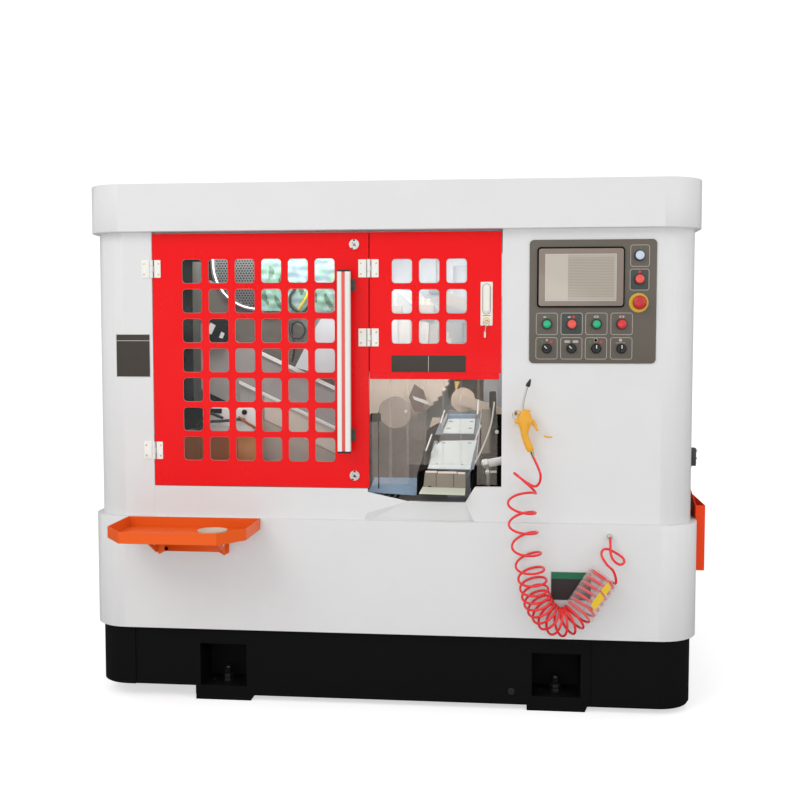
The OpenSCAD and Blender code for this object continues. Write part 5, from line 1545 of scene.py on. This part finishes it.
# %% PVC strips
STRIP_X0, STRIP_PITCH, STRIP_W, STRIP_T = -48.5, 56.5, 64.0, 2.0
STRIP_TOP, STRIP_LOW, OVER_CHUTE = 1067.0, 728.0, 790.0
CHUTE_X = (109.0, 283.0)
strips = []
for k in range(7):
    x0 = STRIP_X0 + k * STRIP_PITCH
    low = OVER_CHUTE if x0 + STRIP_W > CHUTE_X[0] and x0 < CHUTE_X[1] else STRIP_LOW
    u, z = np.meshgrid(np.linspace(0, 1, 9), np.linspace(STRIP_TOP, low, 26))
    fade = (STRIP_TOP - z) / (STRIP_TOP - low)
    bow = 1.5 * (4 * u * (1 - u)) * (1 - 0.4 * fade) * (1 if k % 2 else -1)
    wave = (1.6 * fade * np.sin(3.1 * fade * (1 + 0.13 * k) + k * 1.9)
            + 0.5 * fade * np.sin(11 * fade + 2.3 * k))
    y = (6.8 if k % 2 else 9.2) + bow * 0.6 + wave + 1.6 * fade
    x = x0 + u * STRIP_W + 1.2 * fade * np.sin(2.0 * fade + 1.3 * k)
    front = np.stack([x, y - STRIP_T / 2, z], -1)
    back = np.stack([x, y + STRIP_T / 2, z], -1)
    strips.append(skin(np.concatenate([front, back[:, ::-1]], 1)))
build("curtain_strips", strips, ["pvc_strip"], "strip_curtain", replaces=["strip_curtain"])
print("strips:", len(strips), "of", STRIP_W, "mm")

# %% [markdown]
# The drive motor's fan sits behind a perforated cowl with a bright rim. The holes are on a
# staggered grid, ten millimetres apart, as punched sheet has them. Each is a small dark disc
# set in the face. Cutting eight hundred real holes would cost more than it shows from here.

# %% Perforated cowl
COWL_AT = (-489.0, 1455.0)
COWL_FACE_R, COWL_FACE_Y = 150.0, 305.9
HOLE_PITCH, HOLE_R = 10.0, 3.3
rows, cols = np.meshgrid(np.arange(-17, 18), np.arange(-16, 17), indexing="ij")
hole_x = ((cols + 0.5 * (rows % 2)) * HOLE_PITCH).ravel()
hole_z = (rows * HOLE_PITCH * math.sqrt(3) / 2).ravel()
inside = hole_x ** 2 + hole_z ** 2 < COWL_FACE_R ** 2
holes = np.stack([hole_x[inside], hole_z[inside]], 1) + COWL_AT
rims = (holes[:, None] + ngon(8, HOLE_R)).reshape(-1, 2)
front = spread(rims, COWL_FACE_Y, "y").reshape(-1, 8, 3)
hole_points = np.concatenate([front, front + [0, 1.2, 0]], 1).reshape(-1, 3)
start = np.arange(len(holes))[:, None] * 16
sides = (start[..., None] + quads(2, 8)).reshape(-1, 4)
hole_faces = sides.tolist() + (start + np.arange(8)).tolist() + (start + np.arange(8, 16)).tolist()
build("perforated_cowl", [
    turned([(150, 306.6), (158, 306.6), (158, 320), (160, 320), (160, 500), (152, 511)],
           COWL_AT, "y", 72),
    turned([(155, 306.8), (156, 304.4), (160, 302.6), (165, 303.4), (168, 307), (168, 328), (160, 330),
            (157, 326)],
           COWL_AT, "y", 72, 1), (hole_points, hole_faces, 2)],
    ["cowl_grey", "bright_steel", "shadow_black"], "saw_head", replaces=["motor_cowl"])
print("cowl holes:", len(holes))

# %% [markdown]
# Sloping covers keep chips off the slideways. They telescope: each sheet lies over the next
# and ends in a bright wiper strip. They are laid as overlapping parallel bands, stepping
# towards the front, with the slope of the saw's own travel.

# %% Way covers
FALL = -0.468


def band(x0, x1, z_at, top, bottom, y0, y1, look):
    """Band between two parallel sloping lines: z = z_at + FALL (x + 478) + top or bottom."""
    z = [z_at + FALL * (x + 478) for x in (x0, x1)]
    outline = [(x0, z[0] + bottom), (x1, z[1] + bottom), (x1, z[1] + top), (x0, z[0] + top)]
    return prism(outline, y0, y1, "y", look)


# The tones cover_dark, cover_blue, cover_warm and cover_light are lit and shaded copies of one sheet: painted
# light and shade.
covers = build("telescopic_covers", [
    band(-700, -330, 1140, 160, 30, 330, 460, 0), band(-700, -205, 1140, 34, -6, 326, 460, 0),
    band(-700, -205, 1140, 0, -232, 321, 450, 1),
    band(-480, -205, 1146, 0, -14, 314, 321, 3), band(-560, -470, 1002, 0, -92, 316, 440, 1),
    band(-470, -205, 1002, 0, -92, 315, 440, 4), band(-480, -205, 1002, -92, -230, 317, 440, 2),
    band(-560, -205, 1006, 0, -12, 309, 316, 3),
    slab((-480, -215), (612, 880), (335, 420), "y", 6, 3, look=2)],
    ["cover_dark", "cover_blue", "cover_warm", "wiper_white", "cover_light"], "cabinet",
    replaces=["way_covers"])
rounding(covers, 1.0)
print("covers:", len(covers.data.polygons), "faces")

# %% [markdown]
# At the lower left stands the oil unit: an amber tank, a white valve block on it, and short
# black hoses. Round it are the dark left bulkhead, a pale guard plate beside the blade and a
# few cables. These are plain built forms: they matter as shapes behind a window.

# %% Oil unit and its hoses
oil = build("oil_unit_built", [
    slab((-748, -480), (606, 866), (240, 310), "y", 10, 4),
    slab((-560, -554), (612, 862), (236, 241), "y", 1.5, look=1),
    slab((-548, -478), (612, 862), (237, 241), "y", 2, look=4),
    slab((-690, -684), (612, 862), (236, 241), "y", 1.5, look=1),
    slab((-740, -482), (858, 872), (236, 314), "y", 6, 3, look=5),
    slab((-668, -482), (872, 952), (226, 306), "y", 5, 2, look=2),
    turned([(14, 951), (14, 968), (11, 972)], (-640, 262), "z", 24, 3),
    turned([(9, 226.4), (9, 222), (6, 221)], (-520, 938), "y", 20, 3),
    slab((-652, -600), (934, 950), (221, 227), "y", 2, look=3)],
    ["tank_plastic", "amber_edge", "block_white", "shadow_black", "amber_light",
     "cover_dark"], "cabinet", replaces=["oil_unit"])


def loom(points, radius, look):
    """Fixed hose inside the machine, both ends on its metal."""
    return tube(smoothed(points, 6), radius, 10, look)


looms = build("inner_hoses", [
    loom([[-690, 262, 870], [-684, 214, 890], [-655, 206, 922], [-634, 205, 934], [-612, 210, 926],
          [-598, 225, 918]], 5, 0),
    loom([[-690, 270, 868], [-672, 208, 884], [-640, 202, 905], [-600, 204, 908], [-567, 205, 911],
          [-543, 206, 914], [-520, 225, 912]], 5, 0),
    loom([[-540, 228, 920], [-520, 207, 912], [-501, 206, 899], [-486, 212, 890],
          [-486, 228, 884]], 4.5, 1),
    loom([[-660, 226, 890], [-640, 208, 888], [-600, 208, 892], [-570, 226, 890]], 4, 2),
    loom([[-380, 298, 1284], [-375, 290, 1225], [-359, 288, 1197], [-333, 287, 1195], [-317, 288, 1220],
          [-329, 289, 1245], [-351, 290, 1250], [-365, 291, 1230], [-357, 293, 1161],
          [-369, 312, 1112]], 4, 0),
    loom([[-345, 300, 1284], [-338, 288, 1297], [-317, 285, 1329], [-304, 286, 1358],
          [-296, 300, 1372]], 4, 3),
    loom([[-350, 300, 1378], [-356, 287, 1360], [-369, 285, 1337], [-364, 285, 1303], [-329, 286, 1283],
          [-305, 288, 1306], [-300, 300, 1318]], 5, 0)],
    ["black_plastic", "tank_plastic", "pipe_white", "yellow_plastic"], "cabinet")
print("oil unit and hoses:", len(oil.data.polygons) + len(looms.data.polygons), "faces")

# %% [markdown]
# Bulkheads close the space off behind the windows, and pipes run to the clamp above the
# blade. All of them stand well inside, so each is a plain plate, cut outline or tube, placed
# where a window looks at it.

# %% Bulkheads, guard plate and pipes
bulkheads = build("inner_bulkheads", [
    slab((-962, -690), (608, 1534), (716, 724), "y", 6, 2),
    slab((-810, -776), (700, 1480), (598, 606), look=1),
    slab((-672, -592), (1172, 1272), (282, 322), "y", 5, 3, look=2),
    prism([(-668, 1214), (-650, 1206), (-634, 1238), (-652, 1248)], 279.5, 283, "y", 3),
    prism([(-622, 1196), (-610, 1192), (-602, 1210), (-614, 1216)], 279.5, 283, "y", 3),
    slab((-900, -560), (862, 948), (312, 319), "y", 5, 3),
    slab((-520, -200), (1250, 1530), (905, 911), "y", 6, 2, look=4),
    slab((-330, -322), (1260, 1530), (880, 904), "y", 1, 0.5, look=5),
    slab((-520, -200), (1392, 1400), (880, 904), "y", 1, 0.5, look=5),
    prism([(-357, 1091), (-290, 1222), (-232, 1304), (-216, 1290), (-129, 1290), (-129, 1037),
           (-302, 1077)], 299, 301.5, "y", 6)],
    ["bulkhead_dark", "cover_dark", "shadow_black", "white_plastic", "green_white",
     "cover_warm", "guard_pale", "cover_pale"], "cabinet")
right_side = build("vice_pipes", [
    loom([[-12, 420, 1384], [-11, 404, 1366], [-11, 402, 1330], [-10, 404, 1300]], 5, 0),
    loom([[-16, 420, 1380], [-3, 404, 1364], [20, 402, 1338], [46, 402, 1313], [60, 430, 1300]], 6, 0),
    slab((-32, 8), (1262, 1308), (398, 440), "y", 4, 2, look=1),
    slab((-30, -4), (1150, 1258), (396, 402), "y", 2),
    slab((-4, 40), (1150, 1256), (402, 410), "y", 2, look=3),
    slab((66, 122), (1266, 1313), (440, 474), "y", 4, 2, look=1),
    turned([(8, 1313), (8, 1322), (6, 1328), (6, 1338)], (83, 456), "z", 20, 2),
    turned([(8, 1313), (8, 1320), (6, 1326), (6, 1334)], (101, 456), "z", 20, 2),
    prism([(150, 1362), (246, 1330), (246, 1285), (150, 1318)], 446, 474, "y", 1),
    prism([(50, 1256), (104, 1248), (98, 1160), (50, 1160)], 446, 474, "y", 3),
    prism([(106, 1246), (134, 1230), (134, 1160), (100, 1160)], 452, 474, "y", 1)],
    ["pipe_white", "cover_warm", "disc_beige", "cover_pale"], "cabinet")
print("bulkheads:", len(bulkheads.data.polygons) + len(right_side.data.polygons), "faces")

# %% [markdown]
# Thin protective film still hangs on the guards at the upper right. Its crumples are a sum
# of a few sine waves of different lengths and directions, which is enough for something seen
# through small windows. Each face takes one of three colours from the same waves.

# %% Protective film
FILM_ROWS, FILM_COLS = 50, 58
across, up = np.meshgrid(np.linspace(-482, -196, FILM_COLS), np.linspace(1288, 1534, FILM_ROWS))
folds = (np.sin(across / 9.0 + up / 23.0) + np.sin(across / 21.0 - up / 8.0)
         + np.sin(across / 5.5 + 3 * np.sin(up / 31.0)) + 0.8 * np.sin(up / 4.5 + across / 40.0))
depth = 294 + 1.1 * folds
sheet = np.stack([across, depth, up], -1)
both_sides = np.stack([sheet, sheet + [0, 0.8, 0]])
size = across.size
grid = quads(FILM_ROWS, FILM_COLS, around=False)
number = np.arange(size).reshape(FILM_ROWS, FILM_COLS)
ring = np.concatenate([number[0, :-1], number[:-1, -1], number[-1, :0:-1], number[:0:-1, 0]])
border = np.stack([ring, np.roll(ring, -1), np.roll(ring, -1) + size, ring + size], 1)
faces = np.concatenate([grid, grid[:, ::-1] + size, border[:, ::-1]])
film = build("protective_film", [(both_sides.reshape(-1, 3), faces.tolist(), 0)],
             ["film_mint", "film_white", "film_shade"], "cabinet")
middle = both_sides.reshape(-1, 3)[faces].mean(1)
wave = (np.sin(middle[:, 0] / 7.0 + np.sin(middle[:, 2] / 26.0) * 2)
        + np.sin(middle[:, 2] / 15.0 + middle[:, 0] / 30.0))
pale = (middle[:, 0] > -384) & (middle[:, 2] > 1388)
tone = np.where(pale, np.where(wave > -0.9, 1, 0), np.where(wave > 0.95, 1, np.where(wave < -1.0, 2, 0)))
film.data.polygons.foreach_set("material_index", tone.astype(np.int32))
print("film:", len(film.data.polygons), "faces")

# %% [markdown]
# Pale guards and a back wall fill the view through the small door, and a bar's outlet, its
# disc and a few bright plates the view through the curtain. Most belong to the machine's fixed
# inside, and each of those is one cut plate or turned part. Four thin white tubes are painted
# highlights on the chute's side walls, and a thin black strip is a painted shadow between two
# PVC strips.

# %% Guards behind the small door and the curtain
pale_guard = build("pale_guards", [
    slab((-90, 420), (1352, 1532), (976, 984), "y", 6, 2),
    slab((90, 96), (1380, 1532), (968, 977), "y", 1, 0.5, look=1),
    slab((64, 130), (1370, 1386), (940, 976), "y", 3, 1.5, look=2),
    slab((-60, 420), (1120, 1356), (900, 908), "y", 6, 2, look=1),
    turned([(4, 1340), (91, 1340), (91, 1346), (4, 1346)], (224.6, 971), "y", 48, 4),
    slab((300, 372), (700, 930), (330, 336), "y", 4, 2, look=3),
    slab((322, 346), (905, 1010), (318, 330), "y", 5, 2, look=3)],
    ["wall_sky", "box_grey", "film_white", "shadow_black", "disc_beige"], "cabinet")
behind = build("behind_curtain", [
    prism([(56, 994), (62, 981), (114, 962), (109, 976)], 300, 303),
    prism([(119, 912), (146, 910), (142, 860), (105, 860)], 398, 402, "y", 1),
    prism([(193, 1038), (212, 1037), (198, 1000)], 470, 473, "y", 2),
    prism([(48, 1027), (81, 1005), (101, 950), (85, 924), (48, 927), (28, 979)], 466, 469, "y", 3),
    turned([(4, 454), (58, 454), (61, 457), (61, 461), (57, 463)], (-20, 925), "y", 60, 4),
    turned([(4, 451), (5, 451), (6, 454.5)], (18, 928), "y", 16),
    slab((-59, -26), (922, 950), (56, 70), look=5),
    # Painted shadow: a thin black strip behind the curtain, the shade between two PVC strips.
    slab((-30, -26.5), (708, 958), (26, 30), "y", 1, 0.5, look=5)]
    # Painted highlights: four thin white tubes along the top edges of the chute's side walls.
    + [tube(line, 2.6, 10) for line in (
        [[162, 400, 936], [154, 300, 899]], [[131, 200, 869], [123, 60, 830]],
        [[282, 400, 974], [282, 300, 931]], [[297, 200, 902], [283, 60, 865]])],
    ["block_white", "plate_pink", "amber_pale", "brown_dark", "cover_warm",
     "shadow_black"], "cabinet")
print("guards:", len(pale_guard.data.polygons), "faces")

# %% [markdown]
# Floor and wall are one sweep, a sheet bent up at the back with a wide radius, so that no
# line crosses behind the machine. Two planes would meet in a visible corner.

# %% Sweep
SWEEP_HALF = 9.0
SWEEP_BACK = 5.0
SWEEP_RADIUS = 2.0
angle = np.linspace(0, np.pi / 2, 13)
line = np.vstack([[-7.5, 0.0], np.c_[SWEEP_BACK - SWEEP_RADIUS + SWEEP_RADIUS * np.sin(angle),
                                     SWEEP_RADIUS - SWEEP_RADIUS * np.cos(angle)], [SWEEP_BACK, 9.0]])
sheet = np.concatenate([np.c_[np.full(len(line), x), line] for x in (-SWEEP_HALF, SWEEP_HALF)])
sweep_mesh = bpy.data.meshes.new("sweep")
sweep_mesh.from_pydata(sheet.tolist(), [], quads(2, len(line), around=False)[:, ::-1].tolist())
sweep_mesh.shade_smooth()
sweep = bpy.data.objects.new("sweep", sweep_mesh)
bpy.context.scene.collection.objects.link(sweep)
print("sweep:", len(line), "rows")

# %% [markdown]
# The camera sees the sweep and the sky as paper white, while the machine is lit by a calmer
# grey sky, and the floor keeps the machine's own shadow. Light Path tells the two kinds of
# ray apart. A brighter lamp on the floor would whiten it too, but bleach the machine.

# %% Paper and sky
SKY_LIGHT = 0.62
PAPER = (0.8, 0.8, 0.8, 1)


def seen_or_mirrored(tree):
    """1 for rays that the camera, a mirror or a clear sheet sends, 0 for those that light the machine."""
    path = add(tree, "LightPath")
    first = add(tree, "Math", operation="ADD", use_clamp=True)
    tree.links.new(path.outputs["Is Camera Ray"], first.inputs[0])
    tree.links.new(path.outputs["Is Transmission Ray"], first.inputs[1])
    both = add(tree, "Math", operation="ADD", use_clamp=True)
    tree.links.new(first.outputs[0], both.inputs[0])
    tree.links.new(path.outputs["Is Glossy Ray"], both.inputs[1])
    return first.outputs[0], both.outputs[0]


paper = bpy.data.materials.new("paper")
paper.use_nodes = True
tree = paper.node_tree
tree.nodes.remove(tree.nodes["Principled BSDF"])
matte = add(tree, "BsdfDiffuse", Color=PAPER)
glow = add(tree, "Emission", Color=(1, 1, 1, 1))
straight, _ = seen_or_mirrored(tree)
path = add(tree, "LightPath")
# Seen in a mirror the paper is nearly black: a painted dark reflection, so the floor does not lighten the
# machine's gloss.
tree.links.new(blend(tree, path.outputs["Is Glossy Ray"], PAPER, (0.12, 0.12, 0.12, 1)),
               matte.inputs["Color"])
tree.links.new(ramp(tree, straight, 0, 1, 0, 0.6), glow.inputs["Strength"])
total = add(tree, "AddShader")
tree.links.new(matte.outputs[0], total.inputs[0])
tree.links.new(glow.outputs[0], total.inputs[1])
tree.links.new(total.outputs[0], tree.nodes["Material Output"].inputs["Surface"])
sweep_mesh.materials.append(paper)

world = bpy.data.worlds.new("sky")
world.use_nodes = True
bpy.context.scene.world = world
tree = world.node_tree
_, mirrored = seen_or_mirrored(tree)
sky = tree.nodes["Background"]
sky.inputs["Color"].default_value = (1, 1, 1, 1)
tree.links.new(ramp(tree, mirrored, 0, 1, SKY_LIGHT), sky.inputs["Strength"])
print("sky at", SKY_LIGHT)

# %% [markdown]
# The lamps keep white sheet metal just below paper white: one broad lamp high at the front
# left, a weaker one at the right and a low one in front. Small lamps inside stand for the
# light that such a cabinet has over its work.

# %% Lamps
LAMPS = {
    "key": ((-2.4, -4.2, 4.0), (0, 0, 0.9), (3.0, 2.4), 50),
    "fill": ((3.6, -3.6, 2.2), (0, 0, 0.9), (2.6, 2.6), 20),
    "low_front": ((-0.6, -5.4, 0.8), (0, 0, 0.6), (4.2, 1.4), 21),
    "inside_top": ((-0.38, -0.16, 1.50), (-0.38, -0.1, 0.9), (0.9, 0.4), 4.0),
    "inside_right": ((0.2, -0.2, 1.50), (0.2, -0.1, 0.8), (0.4, 0.35), 1.05),
    "inside_back": ((0.15, 0.12, 1.50), (0.15, 0.40, 1.42), (0.5, 0.1), 0.5),
    "inside_front": ((-0.2, -0.50, 1.49), (-0.2, 0.2, 0.9), (1.0, 0.08), 2.6),
}


def lamp(name, at, aim, size, watts):
    """Area lamp at a scene point, turned to face another: tilted by the angle between the way there and
    straight down, then turned about z."""
    light = bpy.data.lights.new(name, "AREA")
    light.shape = "RECTANGLE"
    light.size, light.size_y = size
    light.energy = watts
    made = bpy.data.objects.new(name, light)
    made.location = at
    way = np.array(aim, float) - np.array(at, float)
    made.rotation_euler = (math.acos(-way[2] / np.linalg.norm(way)), 0,
                           math.atan2(way[0], -way[1]) + math.pi)
    bpy.context.scene.collection.objects.link(made)
    made.visible_camera = False


for name, (at, aim, size, watts) in LAMPS.items():
    lamp(name, at, aim, size, watts)
print("lamps:", len(LAMPS))
